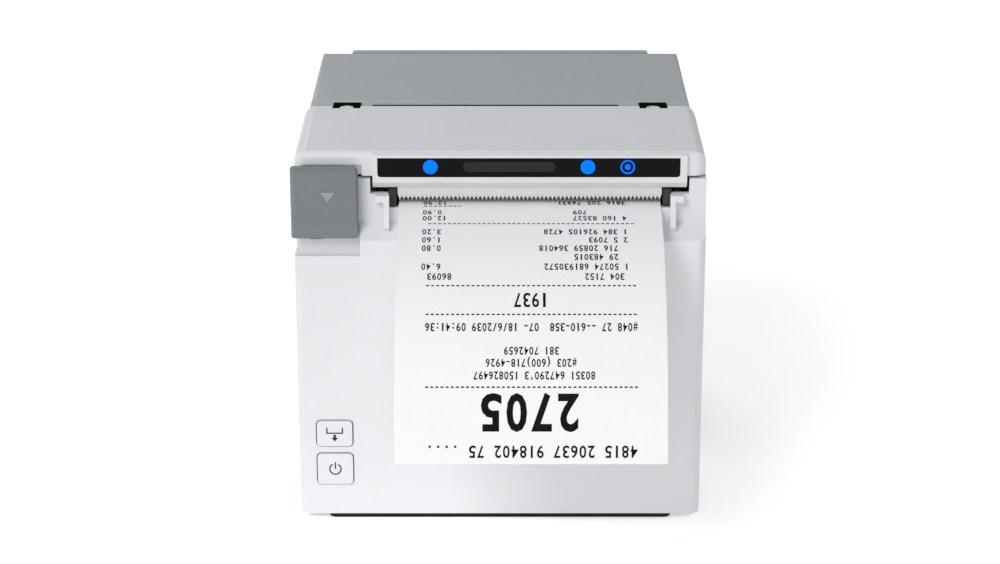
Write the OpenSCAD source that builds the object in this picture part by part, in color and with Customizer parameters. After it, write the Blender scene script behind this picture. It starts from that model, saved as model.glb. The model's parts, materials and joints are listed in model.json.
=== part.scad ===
// Counter-top kiosk receipt printer for 80 mm paper: a white front case and top cover, a grey rear case,
// a sprung push-down lever that frees the cover, and the drop-in roll, platen, print head and cutter inside.
// Frame: +Z up, -Y to the front, origin on the standing surface under the middle of the case.

/* [Case] */
// Width of the white front case and the top cover
body_w = 125; // [115:0.5:140]
// Depth from the lower front face to the rear face
body_d = 128; // [124:0.5:136]
// Height of the top face above the surface
body_h = 118.5; // [117:0.5:126]
// Thickness of the moulded walls
wall = 2.2; // [1.8:0.1:2.6]
// Depth of the white front case and top cover
mask_d = 57.5; // [55:0.5:60]
// How far the grey rear case steps in on each side
rear_inset = 1.5; // [0.8:0.1:2.5]
// Gap that parts the cover from the case
split_gap = 0.8; // [0.5:0.1:1.2]
// Height of the top cover's skirt
skirt_h = 7.5; // [6.5:0.1:8]
// Radius of the upright front edges
corner_r = 3; // [1.5:0.1:4]
// Height of the case's lower edge above the surface
case_lift = 2; // [1.6:0.1:3]

/* [Front] */
// How far the upper front face stands behind the lower one
setback = 5.5; // [4.8:0.1:6.2]
// Height of the front edge of the paper ledge
ledge_z = 92; // [90:0.5:94]
// Rise of the sloping paper ledge
ledge_rise = 4.5; // [3:0.1:6]
// Height of the floor of the finger recess under the lever
recess_z = 86.4; // [84:0.2:86.6]
// How far the recess floor reaches forward of the upper front face
recess_floor = 2.8; // [2:0.1:3.5]
// Height of the slope below the finger recess
slope_h = 8.6; // [5:0.2:12]
// Thickness of the paper guide fins
fin_t = 1.7; // [1.2:0.1:2]
// Length of the cross arm at the top of a guide fin
arm_l = 4.1; // [3:0.1:4.5]

/* [Paper] */
// Width of the paper
paper_w = 79.5; // [76:0.5:80]
// Offset of the paper's middle to the right of the case's middle
paper_x = 9; // [8:0.1:10]
// Thickness of the paper solids
paper_t = 0.2; // [0.1:0.02:0.24]
// Outer diameter of the paper roll
roll_d = 76; // [60:1:77]
// Outer diameter of the roll's cardboard core
core_d = 19; // [15:0.5:22]
// Wall of the cardboard core
core_t = 1.5; // [1:0.1:2.5]
// Radius of the curl that the receipt takes outside
curl_r = 72; // [55:1:80]
// Downward angle of the receipt where it leaves the slot
curl_start = 9; // [4:0.5:9]
// Downward angle of the receipt at the end of its curl
curl_end = 78; // [60:1:85]
// Length of the straight end of the receipt
receipt_tail = 4.5; // [2:0.5:14]

/* [Bezel] */
// Width of the indicator bezel
bezel_w = 95; // [93:0.5:96]
// How far the bezel stands out of the cover
bezel_out = 1.2; // [0.8:0.1:1.6]
// Height that the bezel hangs below the cover's skirt
bezel_drop = 3.7; // [3:0.1:4]
// Width of the black window
window_w = 91.4; // [89:0.2:92]
// Height of the black window
window_h = 6; // [5.4:0.1:6.2]
// Thickness of the black window
window_t = 1.2; // [0.8:0.1:1.4]
// Diameter of the round indicator lights
lamp_d = 4.4; // [3:0.1:5]
// Length of the middle sensor window
pill_l = 28; // [20:0.5:32]
// Number of teeth on the tear bar
teeth = 64; // [40:1:80]
// Depth of the teeth on the tear bar
tooth_h = 1.8; // [1:0.1:2]
// Thickness of the tear bar
tear_t = 0.8; // [0.5:0.1:1]

/* [Lever] */
// Width of the lever's face
lever_w = 20.5; // [18:0.5:21]
// Height of the lever's face
lever_h = 22.4; // [20:0.2:23]
// Thickness of the lever's face
lever_t = 3; // [2.4:0.1:3.2]
// How far the lever stands out of the left side
lever_out = 0.8; // [0.4:0.1:1.2]
// How far the lever's face stands behind the lower front face
lever_back = 0.7; // [0.4:0.1:1]
// Angle that the lever swings through when pressed
lever_swing = 5.5; // [3:0.5:5.5]

/* [Buttons] */
// Width of the two buttons
button_w = 11; // [9:0.2:12]
// Height of the paper feed button
feed_h = 8.4; // [7:0.2:9]
// Height of the power button
power_h = 10.2; // [9:0.2:11]
// Height of the middle of the paper feed button
feed_z = 29.2; // [28.5:0.1:31]
// Height of the middle of the power button
power_z = 17.3; // [16.5:0.1:18]
// Gap around each button
button_gap = 0.35; // [0.2:0.05:0.5]
// How far a button travels
button_travel = 1; // [0.5:0.1:1]

/* [Mechanism] */
// Diameter of the rubber platen roller
platen_d = 11; // [10:0.2:12]
// Diameter of the platen shaft
shaft_d = 5; // [4:0.2:6]
// Module of the paper feed gears
gear_m = 1; // [1:0.01:1]
// Teeth on the motor pinion
pinion_n = 12; // [12:1:12]
// Teeth on the idler gear
idler_n = 44; // [44:1:44]
// Teeth on the platen gear
platen_n = 18; // [18:1:18]
// Face width of the feed gears
gear_w = 4; // [3:0.2:4.4]
// Diameter of the paper feed motor
motor_d = 26; // [20:0.5:27]
// Length of the paper feed motor
motor_l = 20; // [14:0.5:24]
// Travel of the moving cutter blade
blade_travel = 4.5; // [3.5:0.1:4.5]
// Diameter of the pins in the lever and the cover hinge
pin_d = 3; // [2.5:0.1:3.2]
// Angle that the cover opens to
cover_swing = 80; // [40:1:80]

/* [Base] */
// Width of the base plinth
plinth_w = 107; // [104:0.5:112]
// Spacing of the mounting holes across the case
mount_x = 90; // [80:0.5:92]
// Spacing of the mounting holes along the case
mount_y = 90; // [80:0.5:96]
// Diameter of the mounting holes
mount_d = 3.4; // [3:0.1:4.5]

/* [Hidden] */
$fn = 48;

// Clearances: a running fit, a close gap between still pieces and a gap to a moving piece
run_gap = 0.05;
seat_gap = 0.2;
move_gap = 0.4;
eps = 0.01;

// Main planes of the case
half_w = body_w / 2;
front_y = -body_d / 2;
rear_y = body_d / 2;
seam_y = front_y + mask_d;
face_y = front_y + setback;
cover_z = body_h - skirt_h;
split_z = cover_z - split_gap;
rear_half_w = half_w - rear_inset;
inner_half_w = rear_half_w - wall;
inside_y = face_y + wall;
roof_z = body_h - wall;
// The ledge and the finger recess are set for a case of the standard height, and move with its top
standard_h = 118.5;
top_shift = body_h - standard_h;
ledge_at = ledge_z + top_shift;
recess_at = recess_z + top_shift;

// Front of the cover, its bezel and the slot under it
cover_face_y = face_y + 0.3;
bezel_y = cover_face_y - bezel_out;
bezel_x0 = paper_x - bezel_w / 2;
bezel_x1 = paper_x + bezel_w / 2;
bezel_bottom = cover_z - bezel_drop;
notch_gap = 0.8;
notch_z = bezel_bottom - 1.9;
lip_h = 1.9;
tear_y = face_y + 0.9;
tear_bottom = notch_z - 2.2;
slot_half_w = paper_w / 2 + 3.2;
slot_z = body_h - 17.5;
fin_x = slot_half_w - 0.4;
fin_z = ledge_at + 1.5;
fin_out = 3.6;
arm_h = 2.1;
arm_out = 2.4;

// Rear hinge of the cover: the rear edge of the grey cover is a barrel around the pin
barrel_r = 6;
hinge_y = rear_y - barrel_r;
hinge_z = body_h - barrel_r;
ear_r = 3.4;
ear_x = 46;
ear_w = 7.2;
hinge_slot_w = ear_w + 2 * move_gap;
hinge_pin_l = 22;
pin_r = pin_d / 2;

// Seam between the white and the grey half of the cover, with a screw at each end
groove_w = 4;
tongue_l = 11;
screw_x = 49;
screw_y = seam_y + 0.2;
screw_head_d = 5.6;
screw_head_h = 1.5;
screw_d = 2.4;
screw_l = 5;
screw_notch_w = 9;
screw_notch_d = 3.4;
tongue_top = roof_z - seat_gap / 2;
tongue_t = 3;
catch_z = tongue_top - tongue_t - seat_gap / 2;

// Lever: its face hangs in front of the upper front face and swings on a pin at the rear of its arm
lever_x0 = -half_w - lever_out;
lever_x1 = lever_x0 + lever_w;
lever_y = front_y + lever_back;
lever_z0 = recess_at + 6;
lever_z1 = lever_z0 + lever_h;
lever_cheek_t = 1.7;
lever_cheek_l = 9;
lever_bevel = 4;
lever_corner = 2;
lever_side_gap = 0.4;
lever_zone_x = lever_x1 + lever_side_gap;
pivot_y = seam_y - 5.5;
pivot_z = body_h - 18.5;
arm_x0 = -half_w + 5;
arm_t = 3;
arm_deep = 6;
pivot_r = 4;
hook_gap = 0.6;
hook_t = 3;
hook_z = body_h - 10;
strike_r = 1.5;
strike_y = pivot_y - 32;
strike_z = body_h - 13;
hook_y = strike_y - strike_r - hook_gap;

// Buttons
button_x = -half_w + 11.2;
button_r = 1.3;
button_proud = 0.5;
button_flange = 0.9;
button_flange_t = 1.2;
button_seat = 0.1;
button_stem_r = 2;
button_stem_l = 4;
inner_front_y = front_y + wall;
flange_y = inner_front_y + button_seat;
stem_y = flange_y + button_stem_l;
switch_y = stem_y + button_travel + move_gap / 2;
switch_w = 6;
switch_t = 3.6;
board_t = 1.6;
button_board_y = switch_y + switch_t;
post_r = 2;
post_clear = button_flange + post_r + 0.6;
post_zs = [power_z - power_h / 2 - post_clear, feed_z + feed_h / 2 + post_clear];
board_edge = post_r + 0.5;
board_half_w = 8;
board_z0 = post_zs[0] - board_edge;
board_z1 = post_zs[1] + board_edge;

// Paper path: roll, platen, slot and curl
roll_r = roll_d / 2;
bucket_r = 40;
bucket_t = 2;
bucket_z = 54;
// The motor and the bucket share the depth inside the case, with the same gap before, between and
// behind them
motor_z = body_h - 77;
bucket_out = bucket_r + bucket_t;
bucket_reach = sqrt(bucket_out * bucket_out - (bucket_z - motor_z) * (bucket_z - motor_z));
share_gap = (body_d - 2 * wall - motor_d - bucket_out - bucket_reach) / 3;
motor_y = inner_front_y + share_gap + motor_d / 2;
bucket_y = rear_y - wall - share_gap - bucket_out;
bucket_top = bucket_z + 8;
bucket_half_w = paper_w / 2 + 1.75;
roll_y = bucket_y;
roll_z = bucket_z - bucket_r + 0.3 + roll_r;
platen_r = platen_d / 2;
platen_y = face_y + 20.5;
platen_z = body_h - 20.9;
paper_gap = 0.1;
web_platen_r = platen_r + paper_gap + paper_t / 2;
web_roll_r = roll_r + 0.3 + paper_t / 2;
blade_y = face_y + 10.5;
blade_t = 0.8;
cut_gap = 1;
exit_y = inside_y + 0.3;
// Where the web leaves the roll and meets the platen: the line that touches both circles on their upper side
span = norm([platen_y - roll_y, platen_z - roll_z]);
span_angle = atan2(platen_z - roll_z, platen_y - roll_y);
tangent_angle = span_angle - acos((web_roll_r - web_platen_r) / span);
web_start = [roll_y + web_roll_r * cos(tangent_angle), roll_z + web_roll_r * sin(tangent_angle)];
platen_top = [platen_y, platen_z + web_platen_r];
wrap_steps = 4;
platen_wrap = [for (i = [0:wrap_steps])
    let (a = tangent_angle + (90 - tangent_angle) * i / wrap_steps)
    [platen_y + web_platen_r * cos(a), platen_z + web_platen_r * sin(a)]];
// The web runs on from the platen with a light fall, so that it leaves the slot at the curl's first angle
fall_r = (platen_y - exit_y) / sin(curl_start);
function fall(y) = [y, platen_top[1] - fall_r + sqrt(fall_r * fall_r - (platen_y - y) * (platen_y - y))];
web_end = blade_y + cut_gap;
receipt_start = blade_y - cut_gap;
exit_point = fall(exit_y);
fall_steps = 4;
curl_steps = 36;
web_line = concat([web_start], platen_wrap,
    [for (i = [1:fall_steps]) fall(platen_y + (web_end - platen_y) * i / fall_steps)]);
function curl_point(a) = [exit_point[0] - curl_r * (sin(a) - sin(curl_start)),
    exit_point[1] - curl_r * (cos(curl_start) - cos(a))];
curl_last = curl_point(curl_end);
receipt_line = concat(
    [for (i = [0:fall_steps - 1]) fall(receipt_start + (exit_y - receipt_start) * i / fall_steps)],
    [for (i = [0:curl_steps]) curl_point(curl_start + (curl_end - curl_start) * i / curl_steps)],
    [curl_last + receipt_tail * [-cos(curl_end), -sin(curl_end)]]);

// Left side frame and feed gears, on a plane to the left of the paper
frame_t = 1.6;
frame_x0 = paper_x - bucket_half_w - bucket_t - 2.6;
frame_x1 = paper_x + bucket_half_w + bucket_t + 1;
gear_x1 = frame_x0 - 1;
gear_x0 = gear_x1 - gear_w;
platen_gear_r = gear_m * platen_n / 2;
idler_r = gear_m * idler_n / 2;
pinion_r = gear_m * pinion_n / 2;
// The idler lies where its pitch circle meets both others: the crossing of two circles of centre distances
train_d = norm([motor_y - platen_y, motor_z - platen_z]);
reach_platen = platen_gear_r + idler_r;
reach_pinion = pinion_r + idler_r;
along = (reach_platen * reach_platen - reach_pinion * reach_pinion + train_d * train_d) / (2 * train_d);
across = sqrt(reach_platen * reach_platen - along * along);
train_dir = [motor_y - platen_y, motor_z - platen_z] / train_d;
idler_c = [platen_y, platen_z] + along * train_dir + across * [-train_dir[1], train_dir[0]];
idler_y = idler_c[0];
idler_z = idler_c[1];
idler_axle_r = 2;
motor_shaft_r = 1.5;
backlash = 0.16;
// Turn of each gear so that its teeth stand in its neighbour's gaps
idler_turn = 0;
to_platen = atan2(platen_z - idler_z, platen_y - idler_y);
to_pinion = atan2(motor_z - idler_z, motor_y - idler_y);
function meshed_turn(turn, n, direction, other_n) =
    direction + 180 - (turn - direction) * n / other_n + 180 / other_n;
platen_turn = meshed_turn(idler_turn, idler_n, to_platen, platen_n);
pinion_turn = meshed_turn(idler_turn, idler_n, to_pinion, pinion_n);

// Platen
platen_rubber_half = paper_w / 2 + 0.6;
bearing_r = 4.5;
bearing_flange_r = 5.6;
bearing_flange_t = 0.8;
frame_y0 = face_y + 5.5;
frame_y1 = face_y + 38.5;
frame_top = body_h - 14;

// Print head, above the platen in the cover
head_gap = 0.15;
head_z = platen_top[1] + paper_t / 2 + head_gap;
head_t = 1;
head_y0 = platen_y - 5;
head_y1 = platen_y + 5;
sink_y0 = platen_y - 6;
sink_y1 = platen_y + 8;
sink_top = head_z + head_t + 3.6;
fin_count = 9;
spring_l = 4;
spring_r = 2.6;
bracket_z = sink_top + spring_l;
bracket_t = 1.4;
head_half_w = paper_w / 2 + 2;

// Cutter: a moving blade in the case passes a fixed blade in the cover
shear_gap = 0.25;
cutter_y0 = face_y + 3.1;
cutter_y1 = face_y + 12.7;
cutter_bottom = body_h - 27;
cutter_top = slot_z - 0.4;
blade_half_w = paper_w / 2 + 0.5;
blade_edge = cutter_top - 0.2;
blade_h = 9;
cutter_block_w = 2.3;
cutter_block_y = face_y + 0.8;
cutter_block_top = bezel_bottom - 0.6;
fixed_z = blade_edge + blade_travel - 1.2;
rack_m = 0.8;
cutter_n = 12;
cutter_r = rack_m * cutter_n / 2;
rack_x = -20;
rack_w = 4;
rack_t = 2.4;
cutter_x = rack_x + cutter_r;
cutter_z = body_h - 34.5;
rack_z0 = cutter_z - 8;
rack_z1 = cutter_z + 10;
cutter_motor_r = 6;
cutter_motor_l = 15;
cutter_w = 2.2;
motor_plate_t = 0.6;

// Base and boards
flange_t = 1.6;
floor_z = case_lift + flange_t;
plinth_y0 = front_y + 1.6;
plinth_y1 = rear_y - 4;
main_x0 = -31;
main_x1 = 41;
main_y0 = rear_y - 80;
main_y1 = rear_y - 4;
main_z = floor_z + 3;
standoff_r = 2.5;
leg_w = 2.2;
leg_y0 = bucket_y - 8;
leg_y1 = bucket_y + 8;
rear_plate_w = 102;
rear_plate_t = 2.4;
rear_plate_z0 = 34;
rear_plate_z1 = body_h - 0.6;
port_gap = 0.3;
port_z = main_z + board_t;
port_back = rear_y + 0.2;

white = [0.93, 0.93, 0.93];
light = [0.76, 0.76, 0.76];
slate = [0.5, 0.54, 0.56];
dark = [0.16, 0.16, 0.17];
steel = [0.72, 0.73, 0.75];
board_green = [0.1, 0.32, 0.2];
blue = [0.05, 0.5, 1];
paper_white = [0.97, 0.97, 0.96];

// Shape helpers: a box between two corners, bars along an axis and extrusions of a side, front or plan
// outline
module block(x, y, z) {
    translate([x[0], y[0], z[0]]) cube([x[1] - x[0], y[1] - y[0], z[1] - z[0]]);
}

module along_x(x) {
    translate([x[0], 0, 0]) rotate([90, 0, 90]) linear_extrude(x[1] - x[0]) children();
}

module along_y(y) {
    translate([0, y[1], 0]) rotate([90, 0, 0]) linear_extrude(y[1] - y[0]) children();
}

module along_z(z) {
    translate([0, 0, z[0]]) linear_extrude(z[1] - z[0]) children();
}

module bar_x(x, y, z, r) {
    translate([x[0], y, z]) rotate([0, 90, 0]) cylinder(h = x[1] - x[0], r = r);
}

module bar_y(y, x, z, r) {
    translate([x, y[0], z]) rotate([-90, 0, 0]) cylinder(h = y[1] - y[0], r = r);
}

module bar_z(z, x, y, r) {
    translate([x, y, z[0]]) cylinder(h = z[1] - z[0], r = r);
}

module rect2d(a, b) {
    translate([a[0], b[0]]) square([a[1] - a[0], b[1] - b[0]]);
}

// A rectangle with a radius at each corner, in the order low-low, high-low, high-high, low-high
module rounded2d(a, b, r) {
    corners = [[a[0], b[0], 1, 1], [a[1], b[0], -1, 1], [a[1], b[1], -1, -1], [a[0], b[1], 1, -1]];
    difference() {
        rect2d(a, b);
        for (i = [0:3]) if (r[i] > 0) translate([corners[i][0], corners[i][1]]) difference() {
            translate([-eps * corners[i][2], -eps * corners[i][3]])
                scale_square(corners[i][2], corners[i][3], r[i] + eps);
            translate([corners[i][2] * r[i], corners[i][3] * r[i]]) circle(r[i]);
        }
    }
}

// A square of that size from the origin towards the given signs
module scale_square(sx, sy, size) {
    translate([sx > 0 ? 0 : -size, sy > 0 ? 0 : -size]) square(size);
}

// Spur gear outline with involute flanks and some backlash
function involute(base, t) = [base * (cos(t) + t * PI / 180 * sin(t)),
    base * (sin(t) - t * PI / 180 * cos(t))];
function turned(p, a) = [p[0] * cos(a) - p[1] * sin(a), p[0] * sin(a) + p[1] * cos(a)];
module gear2d(m, n, turn) {
    pressure = 20;
    flank_steps = 4;
    pitch = m * n / 2;
    base = pitch * cos(pressure);
    tip = pitch + m * 0.9;
    root = pitch - m * 1.25;
    t_low = base > root ? 0 : sqrt(pow(root / base, 2) - 1) * 180 / PI;
    t_tip = sqrt(pow(tip / base, 2) - 1) * 180 / PI;
    half = 90 / n - backlash / (2 * pitch) * 180 / PI + (tan(pressure) * 180 / PI - pressure);
    flank = [for (i = [0:flank_steps]) turned(involute(base, t_low + (t_tip - t_low) * i / flank_steps),
        -half)];
    tooth = concat([turned([root, 0], -half - (base > root ? 0 : 0.01))], flank,
        [for (i = [flank_steps:-1:0]) [flank[i][0], -flank[i][1]]], [turned([root, 0], half)]);
    polygon([for (k = [0:n - 1]) for (p = tooth) turned(p, turn + k * 360 / n)]);
}

// A band of the paper's thickness along a line of points
function unit(v) = v / norm(v);
function side(p, i) = let (d = unit(p[min(i + 1, len(p) - 1)] - p[max(i - 1, 0)])) [-d[1], d[0]];
module band2d(p, t) {
    polygon(concat([for (i = [0:len(p) - 1]) p[i] + side(p, i) * t / 2],
        [for (i = [len(p) - 1:-1:0]) p[i] - side(p, i) * t / 2]));
}

// Side outline of the lower front case: the lower face, the sloping ledge and the upper face behind it
module case_side(grow, top) {
    y0 = front_y + grow;
    y1 = face_y + grow;
    ledge_r = 1.2;
    difference() {
        polygon([[y0, case_lift - (grow > 0 ? 1 : 0)], [y0, ledge_at - grow / 2],
            [y1, ledge_at + ledge_rise - grow / 2], [y1, top], [seam_y + (grow > 0 ? 1 : 0), top],
            [seam_y + (grow > 0 ? 1 : 0), case_lift - (grow > 0 ? 1 : 0)]]);
        if (grow == 0) ledge_round(y0, ledge_at, ledge_r);
    }
}

// Rounds the outer edge of the ledge at the given corner
module ledge_round(y, z, r) {
    slope = atan2(ledge_rise, setback);
    turn = 90 - slope;
    inset = r * tan(turn / 2);
    centre = [y + r, z - inset];
    difference() {
        translate([y - eps, z - inset]) square([r * sin(turn) + eps, inset + r]);
        translate(centre) circle(r);
        translate([y, z]) rotate(slope) translate([inset, -2 * r]) square([4 * r, 2 * r]);
    }
}

// Side outline under the lever: the recess floor and the slope below it
module lever_side(grow, top) {
    y0 = front_y + grow;
    y1 = face_y + grow;
    below = grow > 0 ? 1 : 0;
    polygon([[y0, case_lift - below], [y0, recess_at - slope_h - grow / 2],
        [face_y - recess_floor + grow, recess_at - grow], [y1, recess_at - grow], [y1, top],
            [seam_y + below, top],
        [seam_y + below, case_lift - below]]);
}

module case_plan() {
    rounded2d([-half_w, half_w], [front_y, seam_y], [corner_r, corner_r, 0, 0]);
}

module button_hole(z, h) {
    along_y([front_y - 1, inside_y])
        rounded2d([button_x - button_w / 2 - button_gap, button_x + button_w / 2 + button_gap],
            [z - h / 2 - button_gap, z + h / 2 + button_gap],
            [for (i = [0:3]) button_r + button_gap]);
}

// A guide beside the paper: an upright fin with a short cross arm at its top; hand is 1 on the right
module paper_guide(hand) {
    x_in = paper_x + hand * fin_x;
    x_out = x_in + hand * fin_t;
    x_arm = x_in + hand * arm_l;
    along_x([min(x_in, x_out), max(x_in, x_out)])
        polygon([[face_y + eps, fin_z], [face_y - fin_out * 0.6, fin_z], [face_y - fin_out, fin_z + 2],
            [face_y - arm_out, notch_z], [face_y + eps, notch_z]]);
    block([min(x_in, x_arm), max(x_in, x_arm)], [face_y - arm_out, face_y + eps], [notch_z - arm_h,
        notch_z]);
}

module front_case() {
    lever_cheek_y = lever_y + lever_cheek_l + 1.5;
    color(white) difference() {
        union() {
            intersection() {
                along_z([case_lift, split_z]) case_plan();
                union() {
                    along_x([lever_zone_x, half_w]) case_side(0, split_z);
                    along_x([-half_w, lever_zone_x]) lever_side(0, split_z);
                }
            }
            for (hand = [-1, 1]) paper_guide(hand);
        }
        // Hollow inside, open below, behind and above
        along_x([lever_zone_x + wall, half_w - wall]) case_side(wall, split_z + 1);
        along_x([-half_w + wall, lever_zone_x + wall + eps]) lever_side(wall, split_z + 1);
        // Notch for the bezel, and the paper slot at its foot
        block([bezel_x0 - notch_gap, bezel_x1 + notch_gap], [face_y - 0.1, inside_y + 1], [notch_z,
            split_z + 1]);
        block([paper_x - slot_half_w, paper_x + slot_half_w], [face_y - 0.1, inside_y + 1], [slot_z,
            split_z + 1]);
        // Lever: room for its cheek on the left side and for its arm through the upper face
        block([-half_w - 1, lever_x0 + lever_cheek_t + lever_side_gap], [front_y - 1, lever_cheek_y],
            [recess_at, split_z + 1]);
        block([arm_x0 - 0.5, arm_x0 + arm_t + 0.5], [face_y - 1, inside_y + 1],
            [pivot_z - arm_deep / 2 - 6, pivot_z + arm_deep / 2 + 1]);
        button_hole(feed_z, feed_h);
        button_hole(power_z, power_h);
    }
    color(white) {
        // Posts for the button board and the boss for the lever's pin
        for (z = post_zs) bar_y([inner_front_y - eps, button_board_y], button_x, z, post_r);
        difference() {
            bar_x([-half_w + wall - eps, arm_x0 - 0.3], pivot_y, pivot_z, pivot_r);
            bar_x([-half_w, arm_x0], pivot_y, pivot_z, pin_r + run_gap);
        }
    }
}

module hinge_clearance(x) {
    bar_x(x, hinge_y, hinge_z, barrel_r + move_gap);
}

// Ear that carries a cover hinge pin, standing on the rear wall
module hinge_ear(x) {
    x_span = [x - ear_w / 2, x + ear_w / 2];
    neck_z = hinge_z - barrel_r - 2;
    difference() {
        union() {
            bar_x(x_span, hinge_y, hinge_z, ear_r);
            block(x_span, [hinge_y - ear_r, hinge_y + ear_r], [neck_z, hinge_z]);
            along_x(x_span) polygon([[hinge_y - ear_r, neck_z + eps], [rear_y - wall + eps, neck_z + eps],
                [rear_y - wall + eps, neck_z - 14], [hinge_y - ear_r, neck_z - 5]]);
        }
        bar_x([x - ear_w, x + ear_w], hinge_y, hinge_z, pin_r + run_gap);
    }
}

// Cut-outs of the ports: middle, width and height above the board
power_port = [-22, 12, 11];
data_plug = [-5, 12.4, 11.4];
network_plug = [13, 16, 13.6];
drawer_plug = [32, 13, 13];

module port_cut(p) {
    block([p[0] - p[1] / 2 - port_gap, p[0] + p[1] / 2 + port_gap], [rear_y - wall - 1, rear_y + 1],
        [port_z - port_gap, port_z + p[2] + port_gap]);
}

module rear_case() {
    rear_r = 2;
    color(slate) difference() {
        along_z([case_lift, split_z])
            rounded2d([-rear_half_w, rear_half_w], [seam_y, rear_y], [0, 0, rear_r, rear_r]);
        block([-inner_half_w, inner_half_w], [seam_y - 1, rear_y - wall], [case_lift - 1, split_z + 1]);
        hinge_clearance([-half_w, half_w]);
        for (p = [power_port, data_plug, network_plug, drawer_plug]) port_cut(p);
    }
    color(slate) for (x = [-ear_x, ear_x]) hinge_ear(x);
}

module rear_plate() {
    color(slate) difference() {
        along_y([rear_y, rear_y + rear_plate_t]) rounded2d([-rear_plate_w / 2, rear_plate_w / 2],
            [rear_plate_z0, rear_plate_z1], [2, 2, 1, 1]);
        hinge_clearance([-half_w, half_w]);
    }
}

module mount_holes() {
    for (x = [-1, 1]) for (y = [-1, 1])
        bar_z([-1, floor_z + 1], x * mount_x / 2, y * mount_y / 2, mount_d / 2);
}

module base_plate() {
    color(dark) difference() {
        union() {
            block([-inner_half_w + seat_gap, inner_half_w - seat_gap],
                [seam_y - eps, rear_y - wall - seat_gap], [case_lift - eps, floor_z]);
            block([-half_w + wall + seat_gap, half_w - wall - seat_gap],
                [inner_front_y + seat_gap, seam_y], [case_lift - eps, floor_z]);
            along_z([0, case_lift])
                rounded2d([-plinth_w / 2, plinth_w / 2], [plinth_y0, plinth_y1], [2, 2, 2, 2]);
            for (x = [main_x0 + 5, main_x1 - 5]) for (y = [main_y0 + 5, main_y1 - 5])
                bar_z([floor_z - eps, main_z], x, y, standoff_r);
        }
        mount_holes();
    }
}

// White top cover: a shallow hood with the bezel frame on its front
module top_cover() {
    top_r = 2;
    side_r = 4;
    plan_r = 4;
    window_z = window_top - window_h;
    color(white) difference() {
        union() {
            difference() {
                intersection() {
                    along_x([-half_w, half_w])
                        rounded2d([cover_face_y, seam_y], [cover_z, body_h], [0, 0, 0.8, top_r]);
                    along_y([cover_face_y, seam_y])
                        rounded2d([-half_w, half_w], [cover_z, body_h], [0, 0, side_r, side_r]);
                    along_z([cover_z, body_h]) rounded2d([-half_w, half_w], [cover_face_y, seam_y],
                        [plan_r, plan_r, plan_r, plan_r]);
                }
                block([-half_w + wall, half_w - wall], [cover_face_y + wall, seam_y + 1], [cover_z - 1,
                    roof_z]);
                // Scoop in the face above the lever
                bar_x([-half_w - 1, lever_zone_x + 0.6], cover_face_y - 4.2, cover_z - 0.5, 5.8);
            }
            along_x([bezel_x0, bezel_x1]) polygon([[cover_face_y + wall, bezel_bottom],
                [cover_face_y + 0.4, bezel_bottom], [bezel_y, bezel_bottom + lip_h], [bezel_y,
                    window_top + 0.7],
                [cover_face_y, window_top + 1.2], [cover_face_y + wall, window_top + 1.2]]);
        }
        // Pocket for the window and the light opening behind it
        along_y([bezel_y - 1, bezel_y + window_t]) rounded2d([window_x0, window_x1], [window_z, window_top],
            [1, 1, 0, 0]);
        block([window_x0 + 2, window_x1 - 2], [bezel_y, cover_face_y + wall + 1],
            [lamp_z - lamp_d / 2 - seat_gap, lamp_z + lamp_d / 2 + seat_gap]);
        // Seat for the tear bar behind the bezel
        block([tear_x0 - run_gap, tear_x1 + run_gap], [tear_y, cover_face_y + wall + 1],
            [bezel_bottom - 1, cover_z]);
        // Screw notches in the rear edge, and a shallow step along it
        for (x = [-screw_x, screw_x]) {
            block([x - screw_notch_w / 2, x + screw_notch_w / 2], [seam_y - screw_notch_d, seam_y + 1],
                [roof_z - 1, body_h + 1]);
        }
        block([-screw_x + 8, screw_x - 11], [seam_y - 0.8, seam_y + 1], [roof_z - 1, body_h + 1]);
    }
    // Brackets that reach under the grey half's tongue and take its screws
    color(white) for (x = [-screw_x, screw_x]) difference() {
        union() {
            block([x - 4, x + 4], [seam_y - tongue_l - seat_gap - wall, seam_y - tongue_l - seat_gap],
                [catch_z - wall, roof_z + eps]);
            block([x - 4, x + 4], [seam_y - tongue_l - seat_gap - eps, screw_y + 2.4], [catch_z - wall,
                catch_z]);
        }
        bar_z([cover_z - 1, catch_z + 1], x, screw_y, screw_d / 2 + run_gap);
    }
    // Bosses that hold the head bracket under the roof
    color(white) for (x = [paper_x - head_half_w + 6, paper_x + head_half_w - 6])
        bar_z([bracket_z + bracket_t, roof_z + eps], x, platen_y + 1, 3);
}

window_top = body_h - 1.6;
window_x0 = paper_x - 0.3 - window_w / 2;
window_x1 = paper_x - 0.3 + window_w / 2;
tear_x0 = paper_x - 40;
tear_x1 = paper_x + 40;

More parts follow.
